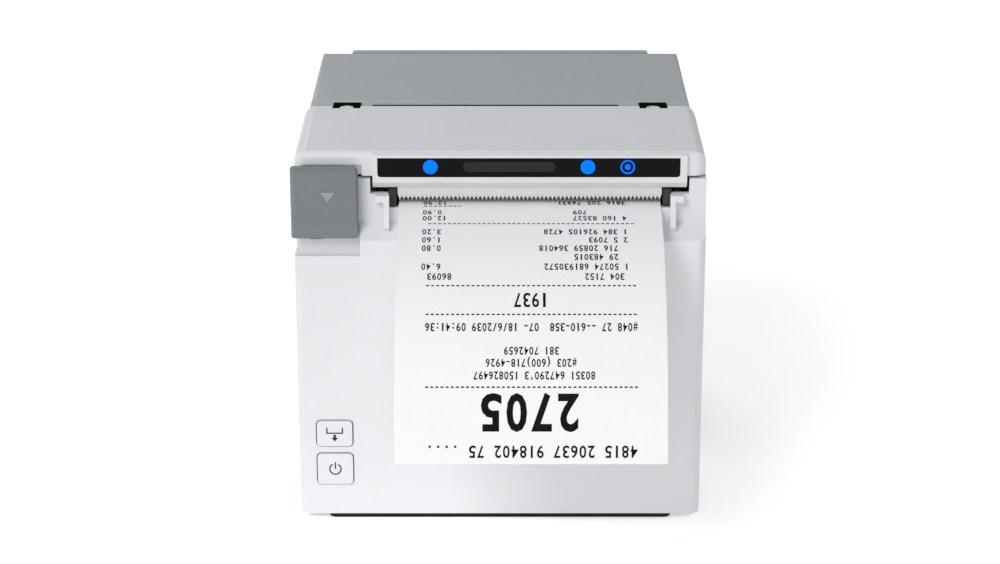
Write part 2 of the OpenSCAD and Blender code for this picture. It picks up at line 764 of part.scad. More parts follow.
// Grey rear half of the cover, with the hinge barrel along its rear edge
module rear_cover() {
    front_r = 2;
    side_r = 2;
    y_front = seam_y + groove_w;
    color(slate) difference() {
        union() {
            intersection() {
                along_x([-rear_half_w, rear_half_w]) union() {
                    rounded2d([y_front, hinge_y], [cover_z, body_h], [0, 0, 0, front_r]);
                    translate([hinge_y, hinge_z]) circle(barrel_r);
                }
                along_y([y_front, rear_y]) rounded2d([-rear_half_w, rear_half_w],
                    [hinge_z - barrel_r, body_h], [0, 0, side_r, side_r]);
            }
            // Tongue under the white half, which the screws hold
            block([-inner_half_w + 2, inner_half_w - 2], [seam_y - tongue_l, y_front + wall],
                [tongue_top - tongue_t, tongue_top]);
            // Floor of the groove between the two halves
            difference() {
                block([-rear_half_w, rear_half_w], [seam_y + seat_gap, y_front + wall], [cover_z,
                    tongue_top]);
                block([-inner_half_w, inner_half_w], [seam_y, y_front + wall + 1],
                    [cover_z - 1, tongue_top - tongue_t]);
            }
        }
        block([-inner_half_w, inner_half_w], [y_front + wall, hinge_y - barrel_r], [cover_z - 1, roof_z]);
        for (x = [-ear_x, ear_x]) block([x - hinge_slot_w / 2, x + hinge_slot_w / 2],
            [hinge_y - barrel_r - 1, rear_y + 1], [hinge_z - barrel_r - 1, hinge_z + ear_r + move_gap / 2]);
        for (x = [-1, 1]) bar_x([x * ear_x - hinge_pin_l / 2 - 0.3, x * ear_x + hinge_pin_l / 2 + 0.3],
            hinge_y, hinge_z, pin_r + run_gap);
        for (x = [-screw_x, screw_x]) bar_z([cover_z, body_h], x, screw_y, screw_d / 2 + run_gap);
        // Room for the screw heads in the rounded front edge
        for (x = [-screw_x, screw_x]) block([x - screw_notch_w / 2, x + screw_notch_w / 2],
            [seam_y, y_front + 0.6], [tongue_top, body_h + 1]);
    }
}

module cover_screws() {
    color(steel) for (x = [-screw_x, screw_x]) translate([x, screw_y, tongue_top]) {
        difference() {
            cylinder(h = screw_head_h, r1 = screw_head_d / 2, r2 = screw_head_d / 2 - 0.6);
            for (a = [0, 90]) rotate(a) translate([-1.6, -0.35, screw_head_h - 0.7]) cube([3.2, 0.7, 1]);
        }
        translate([0, 0, -screw_l]) cylinder(h = screw_l + eps, r = screw_d / 2);
    }
}

module hinge_pins() {
    color(steel) for (x = [-ear_x, ear_x])
        bar_x([x - hinge_pin_l / 2, x + hinge_pin_l / 2], hinge_y, hinge_z, pin_r);
}

// Indicators in the bezel: their middles along the window, on one height
lamp_xs = [paper_x - 30, paper_x + 17.5];
status_x = paper_x + 29.5;
pill_x = paper_x - 6.2;
lamp_z = window_top - window_h / 2 + 0.2;
pill_h = 3.1;
lens_back = bezel_y + window_t + 0.6;

module pill2d(l, h) {
    rounded2d([pill_x - l / 2, pill_x + l / 2], [lamp_z - h / 2, lamp_z + h / 2],
        [for (i = [0:3]) h / 2 - eps]);
}

module indicator_window() {
    color(dark) difference() {
        along_y([bezel_y, bezel_y + window_t]) rounded2d([window_x0 + run_gap, window_x1 - run_gap],
            [window_top - window_h + run_gap, window_top - run_gap], [1, 1, 0, 0]);
        for (x = concat(lamp_xs, [status_x])) bar_y([bezel_y - 1, lens_back], x, lamp_z,
            lamp_d / 2 + run_gap);
        along_y([bezel_y - 1, lens_back]) pill2d(pill_l + 2 * run_gap, pill_h + 2 * run_gap);
    }
}

module indicator_lamps() {
    color(blue) for (x = lamp_xs) bar_y([bezel_y - run_gap, lens_back], x, lamp_z, lamp_d / 2);
}

module sensor_window() {
    color([0.2, 0.19, 0.18]) along_y([bezel_y, lens_back]) pill2d(pill_l, pill_h);
}

module status_ring() {
    ring_t = 0.45;
    color(blue) {
        difference() {
            bar_y([bezel_y - run_gap, lens_back], status_x, lamp_z, lamp_d / 2);
            bar_y([bezel_y - 1, bezel_y + 0.3], status_x, lamp_z, lamp_d / 2 - ring_t);
        }
        bar_y([bezel_y - run_gap, bezel_y + 0.3 + eps], status_x, lamp_z, lamp_d / 5);
    }
}

module indicator_board() {
    y0 = cover_face_y + wall + 0.1;
    led = 1.4;
    color(board_green) block([window_x0 + 1, window_x1 - 1], [y0, y0 + board_t - 0.4], [cover_z,
        roof_z - 0.2]);
    color(white) for (x = concat(lamp_xs, [pill_x - 6, pill_x + 6, status_x]))
        block([x - led, x + led], [y0 - 0.7, y0 + eps], [lamp_z - led, lamp_z + led]);
}

module tear_bar() {
    pitch = (tear_x1 - tear_x0) / teeth;
    root = tear_bottom + tooth_h;
    color(light) along_y([tear_y + run_gap, tear_y + run_gap + tear_t]) polygon(concat(
        [[tear_x1, cover_z - 0.2], [tear_x0, cover_z - 0.2], [tear_x0, root]],
        [for (i = [0:teeth - 1]) for (s = [0.5, 1]) [tear_x0 + (i + s) * pitch,
            s == 1 ? root : tear_bottom]]));
}

// Push-down lever: a face with a cheek round the left corner, a bevelled foot and a raised arrow
module open_lever() {
    cheek_x = lever_x0 + lever_cheek_t;
    mark_w = 4.6;
    mark_h = 3.3;
    mark_z = lever_z0 + 13.35;
    mark_x = (lever_x0 + lever_x1) / 2 + 1.15;
    color(slate) {
        intersection() {
            union() {
                along_x([lever_x0, lever_x1]) polygon([[lever_y + 1.1, lever_z0], [lever_y,
                    lever_z0 + lever_bevel],
                    [lever_y, lever_z1 - 0.8], [lever_y + 0.8, lever_z1], [lever_y + lever_t, lever_z1],
                    [lever_y + lever_t, lever_z0]]);
                block([lever_x0, cheek_x], [lever_y + lever_t - eps, lever_y + lever_cheek_l],
                    [lever_z0 + 1, lever_z1 - 5]);
            }
            along_y([lever_y - 1, lever_y + 20]) rounded2d([lever_x0, lever_x1], [lever_z0, lever_z1],
                [lever_corner / 2, lever_corner / 2, lever_corner, lever_corner / 2]);
            along_z([lever_z0 - 1, lever_z1 + 1]) rounded2d([lever_x0, lever_x1], [lever_y, lever_y + 20],
                [lever_corner, lever_corner / 2, 0, 0]);
        }
        along_y([lever_y - 0.25, lever_y + eps]) polygon([[mark_x - mark_w / 2, mark_z + mark_h / 2],
            [mark_x + mark_w / 2, mark_z + mark_h / 2], [mark_x, mark_z - mark_h / 2]]);
    }
}

// Steel arm of the lever, with the pivot bore at its rear and the hook that holds the cover's strike
module lever_arm() {
    arm_x = [arm_x0, arm_x0 + arm_t];
    color(steel) difference() {
        union() {
            along_x(arm_x) polygon([[lever_y + lever_t, pivot_z - arm_deep / 2], [pivot_y,
                pivot_z - pivot_r],
                [pivot_y, pivot_z + pivot_r], [lever_y + lever_t, pivot_z + arm_deep / 2]]);
            bar_x(arm_x, pivot_y, pivot_z, pivot_r);
            along_x(arm_x) polygon([[hook_y, pivot_z], [hook_y, hook_z - 1], [hook_y - hook_t * 0.5, hook_z],
                [hook_y - hook_t, hook_z - 2], [hook_y - hook_t - 2, pivot_z]]);
        }
        bar_x([arm_x[0] - 1, arm_x[1] + 1], pivot_y, pivot_z, pin_r + run_gap);
    }
}

lever_pin_x1 = arm_x0 + arm_t + 4;

module lever_pin() {
    color(steel) {
        bar_x([-half_w + wall, lever_pin_x1], pivot_y, pivot_z, pin_r);
        bar_x([lever_pin_x1 - 1, lever_pin_x1], pivot_y, pivot_z, pin_r + 1.4);
    }
}

module lever_spring() {
    x = [arm_x0 + arm_t + 0.3, lever_pin_x1 - 1.2];
    color(steel) difference() {
        bar_x(x, pivot_y, pivot_z, pin_r + 1.1);
        bar_x([x[0] - 1, x[1] + 1], pivot_y, pivot_z, pin_r + 0.2);
    }
}

// Strike on the cover: a tab under the roof with the pin that the lever's hook holds
module latch_strike() {
    x1 = arm_x0 + arm_t + 4.4;
    color(steel) {
        block([x1, x1 + 2], [strike_y - 3, strike_y + 3], [strike_z - 3, roof_z]);
        bar_x([arm_x0 + 0.2, x1 + eps], strike_y, strike_z, strike_r);
    }
}

// A button: its cap through the front, a flange behind the wall and a stem that meets its switch
module button(z, h) {
    x = [button_x - button_w / 2, button_x + button_w / 2];
    f = button_flange;
    color(white) {
        along_y([front_y - button_proud, flange_y + eps]) rounded2d(x, [z - h / 2, z + h / 2],
            [for (i = [0:3]) button_r]);
        block([x[0] - f, x[1] + f], [flange_y, flange_y + button_flange_t], [z - h / 2 - f, z + h / 2 + f]);
        bar_y([flange_y, stem_y], button_x, z, button_stem_r);
    }
}

module feed_button() { button(feed_z, feed_h); }

module power_button() { button(power_z, power_h); }

module button_board() {
    color(board_green) block([button_x - board_half_w, button_x + board_half_w],
        [button_board_y, button_board_y + board_t], [board_z0, board_z1]);
}

module button_switches() {
    s = switch_w / 2;
    color(dark) for (z = [feed_z, power_z]) {
        block([button_x - s, button_x + s], [switch_y + 0.6, button_board_y], [z - s, z + s]);
        bar_y([switch_y, switch_y + 0.6 + eps], button_x, z, 1.6);
    }
}

// Steel side frames that carry the platen, the idler and the motor
module chassis_plates() {
    color(steel) {
        difference() {
            along_x([frame_x0, frame_x0 + frame_t]) polygon([[frame_y0, floor_z], [frame_y0, frame_top - 6],
                [frame_y0 + 6, frame_top], [frame_y1 - 10, frame_top], [frame_y1, idler_z], [frame_y1,
                    floor_z]]);
            bar_x([frame_x0 - 1, frame_x0 + 3], platen_y, platen_z, bearing_r + run_gap);
            bar_x([frame_x0 - 1, frame_x0 + 3], motor_y, motor_z, motor_shaft_r + 1);
            bar_x([frame_x0 - 1, frame_x0 + 3], idler_y, idler_z, idler_axle_r + run_gap);
        }
        difference() {
            along_x([frame_x1, frame_x1 + frame_t]) polygon([[frame_y0, floor_z], [frame_y0, frame_top - 6],
                [frame_y0 + 6, frame_top], [frame_y1 - 10, frame_top], [frame_y1, idler_z], [frame_y1,
                    floor_z]]);
            bar_x([frame_x1 - 1, frame_x1 + 3], platen_y, platen_z, bearing_r + run_gap);
        }
    }
}

module platen_bearings() {
    color(light) for (x = [frame_x0, frame_x1]) {
        flange_x = x == frame_x0 ? x + frame_t : x - bearing_flange_t;
        difference() {
            union() {
                bar_x([x, x + frame_t], platen_y, platen_z, bearing_r);
                bar_x([flange_x, flange_x + bearing_flange_t], platen_y, platen_z, bearing_flange_r);
            }
            bar_x([x - 2, x + 4], platen_y, platen_z, shaft_d / 2 + run_gap);
        }
    }
}

module platen_roller() {
    color(dark) difference() {
        bar_x([paper_x - platen_rubber_half, paper_x + platen_rubber_half], platen_y, platen_z, platen_r);
        bar_x([-half_w, half_w], platen_y, platen_z, shaft_d / 2);
    }
}

module platen_shaft() {
    color(steel) bar_x([gear_x0 - 1, frame_x1 + frame_t + 1], platen_y, platen_z, shaft_d / 2);
}

module feed_gear(n, turn, y, z, bore) {
    color(light) difference() {
        translate([0, y, z]) along_x([gear_x0, gear_x1]) gear2d(gear_m, n, turn);
        bar_x([gear_x0 - 1, gear_x1 + 1], y, z, bore);
    }
}

module platen_gear() { feed_gear(platen_n, platen_turn, platen_y, platen_z, shaft_d / 2); }

module idler_gear() { feed_gear(idler_n, idler_turn, idler_y, idler_z, idler_axle_r + run_gap); }

module motor_pinion() { feed_gear(pinion_n, pinion_turn, motor_y, motor_z, motor_shaft_r); }

module idler_axle() {
    color(steel) {
        bar_x([gear_x0 - 1.4, frame_x0 + frame_t], idler_y, idler_z, idler_axle_r);
        bar_x([gear_x0 - 1.4, gear_x0 - 0.4], idler_y, idler_z, idler_axle_r + 1.5);
    }
}

module feed_motor() {
    x0 = frame_x0 + frame_t;
    color(steel) {
        difference() {
            bar_x([x0, x0 + motor_l], motor_y, motor_z, motor_d / 2);
            bar_x([x0 - 1, x0 + 1], motor_y, motor_z, motor_shaft_r + 1);
        }
        bar_x([gear_x0, x0 + 1 + eps], motor_y, motor_z, motor_shaft_r - run_gap);
    }
}

// Print head: a ceramic strip under a finned heat sink, pressed down by springs from a bracket in the cover
module print_head() {
    color(dark) block([paper_x - head_half_w, paper_x + head_half_w], [head_y0, head_y1], [head_z,
        head_z + head_t]);
}

module heat_sink() {
    fin_pitch = 2 * head_half_w / fin_count;
    base_t = 1.8;
    color(steel) {
        block([paper_x - head_half_w, paper_x + head_half_w], [sink_y0, sink_y1],
            [head_z + head_t, head_z + head_t + base_t]);
        for (i = [0:fin_count - 1]) block([paper_x - head_half_w + i * fin_pitch + 1,
            paper_x - head_half_w + (i + 1) * fin_pitch - 1], [sink_y0, sink_y1],
            [head_z + head_t + base_t - eps, sink_top]);
    }
}

spring_xs = [for (i = [1, 4, 7]) paper_x - head_half_w + (i + 0.5) * 2 * head_half_w / fin_count];

module head_springs() {
    color(steel) for (x = spring_xs) difference() {
        bar_z([sink_top, bracket_z], x, platen_y + 1, spring_r);
        bar_z([sink_top - 1, bracket_z + 1], x, platen_y + 1, spring_r - 0.7);
    }
}

module head_bracket() {
    color(steel) block([paper_x - head_half_w, paper_x + head_half_w], [sink_y0, sink_y1],
        [bracket_z, bracket_z + bracket_t]);
}

// Cutter frame under the slot, with the guide slot of the moving blade and a block at each end
module cutter_frame() {
    x_end = paper_x + slot_half_w - 0.2;
    x_start = paper_x - slot_half_w + 0.2;
    slot = blade_t / 2 + run_gap;
    color(dark) difference() {
        union() {
            block([x_start, x_end], [cutter_y0, cutter_y1], [cutter_bottom, cutter_top]);
            for (x = [x_start, x_end - cutter_block_w]) block([x, x + cutter_block_w],
                [cutter_y0, blade_y + blade_t + 1], [cutter_bottom + 4, cutter_block_top]);
            for (x = [x_start, x_end - cutter_block_w]) block([x, x + cutter_block_w],
                [cutter_block_y, cutter_y0 + eps], [slot_z + seat_gap, cutter_block_top]);
            // Plate that carries the cutter motor
            block([cutter_x - cutter_motor_r, cutter_x + cutter_motor_r], [cutter_y1 - motor_plate_t,
                cutter_y1],
                [cutter_z - cutter_motor_r, cutter_bottom + 1]);
        }
        bar_y([blade_y, cutter_y1 + 1], cutter_x, cutter_z, 1.4);
        block([paper_x - blade_half_w - 0.3, paper_x + blade_half_w + 0.3], [blade_y - slot, blade_y + slot],
            [cutter_bottom - 1, cutter_block_top + 1]);
        block([rack_x - rack_w - 0.5, rack_x + 1.5], [blade_y - rack_t / 2 - move_gap,
            blade_y + rack_t / 2 + move_gap],
            [cutter_bottom - 1, rack_z1 + blade_travel + 0.6]);
    }
}

// Moving blade with the rack that its pinion drives
module cutter_blade() {
    pitch = PI * rack_m;
    rack_teeth = 7;
    half = pitch / 4 - 0.08;
    lean = rack_m * tan(20);
    phase = cutter_z - (rack_teeth / 2) * pitch;
    color(steel) {
        block([paper_x - blade_half_w, paper_x + blade_half_w], [blade_y - blade_t / 2,
            blade_y + blade_t / 2],
            [blade_edge - blade_h, blade_edge]);
        along_y([blade_y - rack_t / 2, blade_y + rack_t / 2]) polygon(concat(
            [[rack_x - rack_w, rack_z1], [rack_x - rack_w, rack_z0], [rack_x - rack_m * 1.2, rack_z0]],
            [for (i = [0:rack_teeth - 1]) let (z = phase + (i + 0.5) * pitch)
                each [[rack_x - rack_m * 1.2, z - half - lean * 1.2], [rack_x + rack_m * 0.8,
                    z - half + lean * 0.8],
                    [rack_x + rack_m * 0.8, z + half - lean * 0.8], [rack_x - rack_m * 1.2,
                        z + half + lean * 1.2]]],
            [[rack_x - rack_m * 1.2, rack_z1]]));
    }
}

module fixed_blade() {
    y1 = blade_y - blade_t / 2 - shear_gap;
    color(steel) {
        block([paper_x - blade_half_w, paper_x + blade_half_w], [y1 - 1, y1], [fixed_z, cover_z + 2]);
        block([paper_x - blade_half_w, paper_x + blade_half_w], [y1 - 1, sink_y0], [cover_z + 1,
            cover_z + 2]);
        for (x = [paper_x - blade_half_w + 8, paper_x + blade_half_w - 8])
            bar_z([cover_z + 2 - eps, roof_z], x, y1 + 1.5, 2);
    }
}

module cutter_pinion() {
    color(light) difference() {
        translate([cutter_x, 0, cutter_z]) along_y([blade_y - cutter_w / 2, blade_y + cutter_w / 2])
            gear2d(rack_m, cutter_n, 180 + 180 / cutter_n);
        bar_y([blade_y - 2, blade_y + 2], cutter_x, cutter_z, 1);
    }
}

module cutter_motor() {
    y0 = cutter_y1;
    color(steel) {
        bar_y([y0, y0 + cutter_motor_l], cutter_x, cutter_z, cutter_motor_r);
        bar_y([blade_y - cutter_w / 2, y0 + eps], cutter_x, cutter_z, 1 - run_gap);
    }
}

// Bucket that the roll drops into: a trough with end walls, standing on two legs
module paper_bucket() {
    x = [paper_x - bucket_half_w, paper_x + bucket_half_w];
    color(dark) difference() {
        union() {
            bar_x([x[0] - bucket_t, x[1] + bucket_t], bucket_y, bucket_z, bucket_r + bucket_t);
            for (lx = [x[0] - bucket_t, x[1] + bucket_t - leg_w])
                block([lx, lx + leg_w], [leg_y0, leg_y1], [floor_z, bucket_z - bucket_r]);
        }
        bar_x(x, bucket_y, bucket_z, bucket_r);
        block([-half_w, half_w], [front_y, rear_y], [bucket_top, body_h]);
    }
}

module paper_roll() {
    x = [paper_x - paper_w / 2, paper_x + paper_w / 2];
    color(paper_white) difference() {
        bar_x(x, roll_y, roll_z, roll_r);
        bar_x([x[0] - 1, x[1] + 1], roll_y, roll_z, core_d / 2);
    }
}

module roll_core() {
    x = [paper_x - paper_w / 2, paper_x + paper_w / 2];
    color([0.7, 0.6, 0.47]) difference() {
        bar_x(x, roll_y, roll_z, core_d / 2);
        bar_x([x[0] - 1, x[1] + 1], roll_y, roll_z, core_d / 2 - core_t);
    }
}

module paper_web() {
    color(paper_white) along_x([paper_x - paper_w / 2, paper_x + paper_w / 2]) band2d(web_line, paper_t);
}

module receipt() {
    color(paper_white) along_x([paper_x - paper_w / 2, paper_x + paper_w / 2]) band2d(receipt_line, paper_t);
}

module main_board() {
    color(board_green) block([main_x0, main_x1], [main_y0, main_y1], [main_z, main_z + board_t]);
}

module port(p, deep, tint, hole) {
    color(tint) difference() {
        block([p[0] - p[1] / 2, p[0] + p[1] / 2], [port_back - deep, port_back], [port_z, port_z + p[2]]);
        block([p[0] - hole[0] / 2, p[0] + hole[0] / 2], [port_back - hole[2], port_back + 1],
            [port_z + (p[2] - hole[1]) / 2, port_z + (p[2] + hole[1]) / 2]);
    }
}

module power_inlet() {
    color(dark) difference() {
        block([power_port[0] - power_port[1] / 2, power_port[0] + power_port[1] / 2], [port_back - 14,
            port_back],
            [port_z, port_z + power_port[2]]);
        bar_y([port_back - 9, port_back + 1], power_port[0], port_z + power_port[2] / 2, 4);
    }
    color(steel) bar_y([port_back - 9 - eps, port_back - 2], power_port[0], port_z + power_port[2] / 2, 1);
}

module data_port() { port(data_plug, 13, steel, [8.4, 7.6, 9]); }

module network_port() { port(network_plug, 15, steel, [11.8, 8, 11]); }

module drawer_port() { port(drawer_plug, 13, dark, [9.8, 7, 10]); }

// Roll-end sensor on the side of the bucket
module paper_sensor() {
    x0 = paper_x - bucket_half_w - bucket_t;
    color(dark) block([x0 - 3, x0], [bucket_y - 24, bucket_y - 16], [bucket_z - 30, bucket_z - 20]);
}

front_case();
rear_case();
rear_plate();
base_plate();
top_cover();
rear_cover();
cover_screws();
hinge_pins();
indicator_window();
indicator_lamps();
sensor_window();
status_ring();
indicator_board();
tear_bar();
open_lever();
lever_arm();
lever_pin();
lever_spring();
latch_strike();
feed_button();
power_button();
button_board();
button_switches();
chassis_plates();
platen_roller();
platen_shaft();
platen_gear();
platen_bearings();
idler_gear();
idler_axle();
feed_motor();
motor_pinion();
print_head();
heat_sink();
head_springs();
head_bracket();
cutter_frame();
cutter_blade();
fixed_blade();
cutter_pinion();
cutter_motor();
paper_bucket();
paper_roll();
roll_core();
paper_web();
receipt();
main_board();
power_inlet();
data_port();
network_port();
drawer_port();
paper_sensor();
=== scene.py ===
"""Dresses the kiosk receipt printer: moulded cases, a printed receipt, button signs, finishes and light."""

from __future__ import annotations

import json
import logging
import math
from dataclasses import dataclass, field
from enum import Enum

import bpy
from mathutils import Matrix, Vector

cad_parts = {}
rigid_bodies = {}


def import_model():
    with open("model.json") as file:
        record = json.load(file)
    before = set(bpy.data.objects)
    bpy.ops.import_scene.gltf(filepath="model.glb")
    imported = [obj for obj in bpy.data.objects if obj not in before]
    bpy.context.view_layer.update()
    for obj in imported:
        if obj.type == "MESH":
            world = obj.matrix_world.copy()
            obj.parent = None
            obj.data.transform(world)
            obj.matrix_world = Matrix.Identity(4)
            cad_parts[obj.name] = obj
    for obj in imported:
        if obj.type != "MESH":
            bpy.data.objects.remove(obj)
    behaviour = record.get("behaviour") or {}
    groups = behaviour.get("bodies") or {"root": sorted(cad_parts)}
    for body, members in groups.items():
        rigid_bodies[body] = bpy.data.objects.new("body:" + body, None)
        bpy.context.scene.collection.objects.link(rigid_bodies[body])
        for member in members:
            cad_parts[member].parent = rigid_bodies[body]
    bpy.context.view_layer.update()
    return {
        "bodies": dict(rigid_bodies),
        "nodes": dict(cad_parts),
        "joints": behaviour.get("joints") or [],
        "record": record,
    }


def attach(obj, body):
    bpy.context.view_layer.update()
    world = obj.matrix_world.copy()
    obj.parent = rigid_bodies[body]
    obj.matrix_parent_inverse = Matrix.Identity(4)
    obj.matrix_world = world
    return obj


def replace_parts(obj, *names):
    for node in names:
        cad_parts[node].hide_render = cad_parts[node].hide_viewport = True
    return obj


LOG = logging.getLogger("receipt_printer")
MM = 0.001
ROLL_AXIS = (14.632 * MM, 52.3 * MM)
RING_FLOOR = -59.25 * MM
MARK_DEPTH = 0.1 * MM
Colour = tuple[float, float, float]


class Slot(str, Enum):
    """Material slots of the record, listed with the pieces; each piece's finish comes from its Finish."""

    WHITE = "white_plastic"
    GREY = "grey_plastic"
    LEVER = "lever_plastic"
    DARK = "dark_plastic"
    WINDOW = "black_window"
    LIGHT = "blue_light"
    PALE = "light_plastic"
    STEEL = "steel"
    ALUMINIUM = "aluminium"
    CERAMIC = "ceramic"
    RUBBER = "platen_rubber"
    PAPER = "paper"
    CORE = "core_board"
    BOARD = "circuit_board"


class Effect(str, Enum):
    """Shader node groups that several finishes share."""

    GRAIN = "moulding_grain"
    SOIL = "handling_soil"
    BRUSH = "brushed_lines"
    FIBRE = "paper_fibre"
    WOUND = "wound_layers"


def socket_value(node: bpy.types.Node, name: str, value: object) -> None:
    """Sets the default of one input of a node."""
    node.inputs[name].default_value = value


class Effects:
    """Builds each shared node group once and places it in materials."""

    @staticmethod
    def new_group(effect: Effect, inputs: dict[str, float], outputs: list[str]) -> bpy.types.NodeTree:
        """Makes an empty group with its sockets.

        Args:
            effect: The effect that the group gives.
            inputs: Names of the value inputs, with their defaults.
            outputs: Names of the value outputs.

        Returns:
            The node tree with its group input and output nodes.
        """
        tree = bpy.data.node_groups.new(effect.value, "ShaderNodeTree")
        for name, default in inputs.items():
            socket = tree.interface.new_socket(name=name, in_out="INPUT", socket_type="NodeSocketFloat")
            socket.default_value = default
        for name in outputs:
            tree.interface.new_socket(name=name, in_out="OUTPUT", socket_type="NodeSocketFloat")
        tree.nodes.new("NodeGroupInput").name = "in"
        tree.nodes.new("NodeGroupOutput").name = "out"
        return tree

    @staticmethod
    def object_noise(
        tree: bpy.types.NodeTree, scale: float, detail: float, stretch: tuple[float, float, float] = (1, 1, 1)
    ) -> bpy.types.Node:
        """Adds a noise texture on object coordinates.

        Args:
            tree: The node tree to add to.
            scale: Noise scale, in cells for each metre.
            detail: Noise detail.
            stretch: Scale along each axis, for a drawn-out pattern.

        Returns:
            The noise node.
        """
        coordinate = tree.nodes.new("ShaderNodeTexCoord")
        mapping = tree.nodes.new("ShaderNodeMapping")
        socket_value(mapping, "Scale", stretch)
        noise = tree.nodes.new("ShaderNodeTexNoise")
        socket_value(noise, "Scale", scale)
        socket_value(noise, "Detail", detail)
        tree.links.new(coordinate.outputs["Object"], mapping.inputs["Vector"])
        tree.links.new(mapping.outputs["Vector"], noise.inputs["Vector"])
        return noise

    @staticmethod
    def ranged(
        tree: bpy.types.NodeTree, source: bpy.types.NodeSocket, low: object, high: object,
        out_low: float = 0.0, out_high: float = 1.0
    ) -> bpy.types.Node:
        """Adds a clamped map range.

        Args:
            tree: The node tree to add to.
            source: The value that is mapped.
            low: Value mapped to out_low, a number or a socket.
            high: Value mapped to out_high, a number or a socket.
            out_low: Lowest result.
            out_high: Highest result.

        Returns:
            The map range node.
        """
        node = tree.nodes.new("ShaderNodeMapRange")
        tree.links.new(source, node.inputs["Value"])
        for name, value in (("From Min", low), ("From Max", high), ("To Min", out_low), ("To Max", out_high)):
            if isinstance(value, bpy.types.NodeSocket):
                tree.links.new(value, node.inputs[name])
            else:
                socket_value(node, name, value)
        return node

    @classmethod
    def grain(cls) -> bpy.types.NodeTree:
        """Fine spark texture of a moulded face: height and a change of roughness."""
        tree = cls.new_group(Effect.GRAIN, {"Roughness": 0.5, "Spread": 0.1}, ["Height", "Roughness"])
        fine = cls.object_noise(tree, 2600.0, 2.0)
        broad = cls.object_noise(tree, 70.0, 3.0)
        start, end = tree.nodes["in"], tree.nodes["out"]
        low = tree.nodes.new("ShaderNodeMath")
        low.operation = "SUBTRACT"
        high = tree.nodes.new("ShaderNodeMath")
        high.operation = "ADD"
        for node in (low, high):
            tree.links.new(start.outputs["Roughness"], node.inputs[0])
            tree.links.new(start.outputs["Spread"], node.inputs[1])
        rough = cls.ranged(tree, broad.outputs["Fac"], 0.3, 0.7, low.outputs[0], high.outputs[0])
        tree.links.new(fine.outputs["Fac"], end.inputs["Height"])
        tree.links.new(rough.outputs["Result"], end.inputs["Roughness"])
        return tree

    @classmethod
    def soil(cls) -> bpy.types.NodeTree:
        """Faint uneven tone of a handled surface, as a mask."""
        tree = cls.new_group(Effect.SOIL, {"Amount": 0.05}, ["Mask"])
        cloud = cls.object_noise(tree, 28.0, 5.0)
        speck = cls.object_noise(tree, 900.0, 1.0)
        start, end = tree.nodes["in"], tree.nodes["out"]
        wide = cls.ranged(tree, cloud.outputs["Fac"], 0.35, 0.75)
        spots = cls.ranged(tree, speck.outputs["Fac"], 0.72, 0.8)
        both = tree.nodes.new("ShaderNodeMath")
        both.operation = "ADD"
        both.use_clamp = True
        tree.links.new(wide.outputs["Result"], both.inputs[0])
        tree.links.new(spots.outputs["Result"], both.inputs[1])
        scaled = tree.nodes.new("ShaderNodeMath")
        scaled.operation = "MULTIPLY"
        tree.links.new(both.outputs[0], scaled.inputs[0])
        tree.links.new(start.outputs["Amount"], scaled.inputs[1])
        tree.links.new(scaled.outputs[0], end.inputs["Mask"])
        return tree

    @classmethod
    def brush(cls) -> bpy.types.NodeTree:
        """Drawn-out lines of rolled or turned metal: height and roughness."""
        tree = cls.new_group(Effect.BRUSH, {"Roughness": 0.35, "Spread": 0.12}, ["Height", "Roughness"])
        lines = cls.object_noise(tree, 900.0, 3.0, (0.04, 1.0, 1.0))
        start, end = tree.nodes["in"], tree.nodes["out"]
        high = tree.nodes.new("ShaderNodeMath")
        high.operation = "ADD"
        tree.links.new(start.outputs["Roughness"], high.inputs[0])
        tree.links.new(start.outputs["Spread"], high.inputs[1])
        rough = cls.ranged(tree, lines.outputs["Fac"], 0.3, 0.7, start.outputs["Roughness"], high.outputs[0])
        tree.links.new(lines.outputs["Fac"], end.inputs["Height"])
        tree.links.new(rough.outputs["Result"], end.inputs["Roughness"])
        return tree

    @classmethod
    def fibre(cls) -> bpy.types.NodeTree:
        """Short pale fibres of coated paper or board: height and a tone mask."""
        tree = cls.new_group(Effect.FIBRE, {"Amount": 0.04}, ["Height", "Mask"])
        fine = cls.object_noise(tree, 1800.0, 4.0, (1.0, 0.35, 0.35))
        cloud = cls.object_noise(tree, 160.0, 3.0)
        start, end = tree.nodes["in"], tree.nodes["out"]
        tone = cls.ranged(tree, cloud.outputs["Fac"], 0.35, 0.7)
        scaled = tree.nodes.new("ShaderNodeMath")
        scaled.operation = "MULTIPLY"
        tree.links.new(tone.outputs["Result"], scaled.inputs[0])
        tree.links.new(start.outputs["Amount"], scaled.inputs[1])
        tree.links.new(fine.outputs["Fac"], end.inputs["Height"])
        tree.links.new(scaled.outputs[0], end.inputs["Mask"])
        return tree

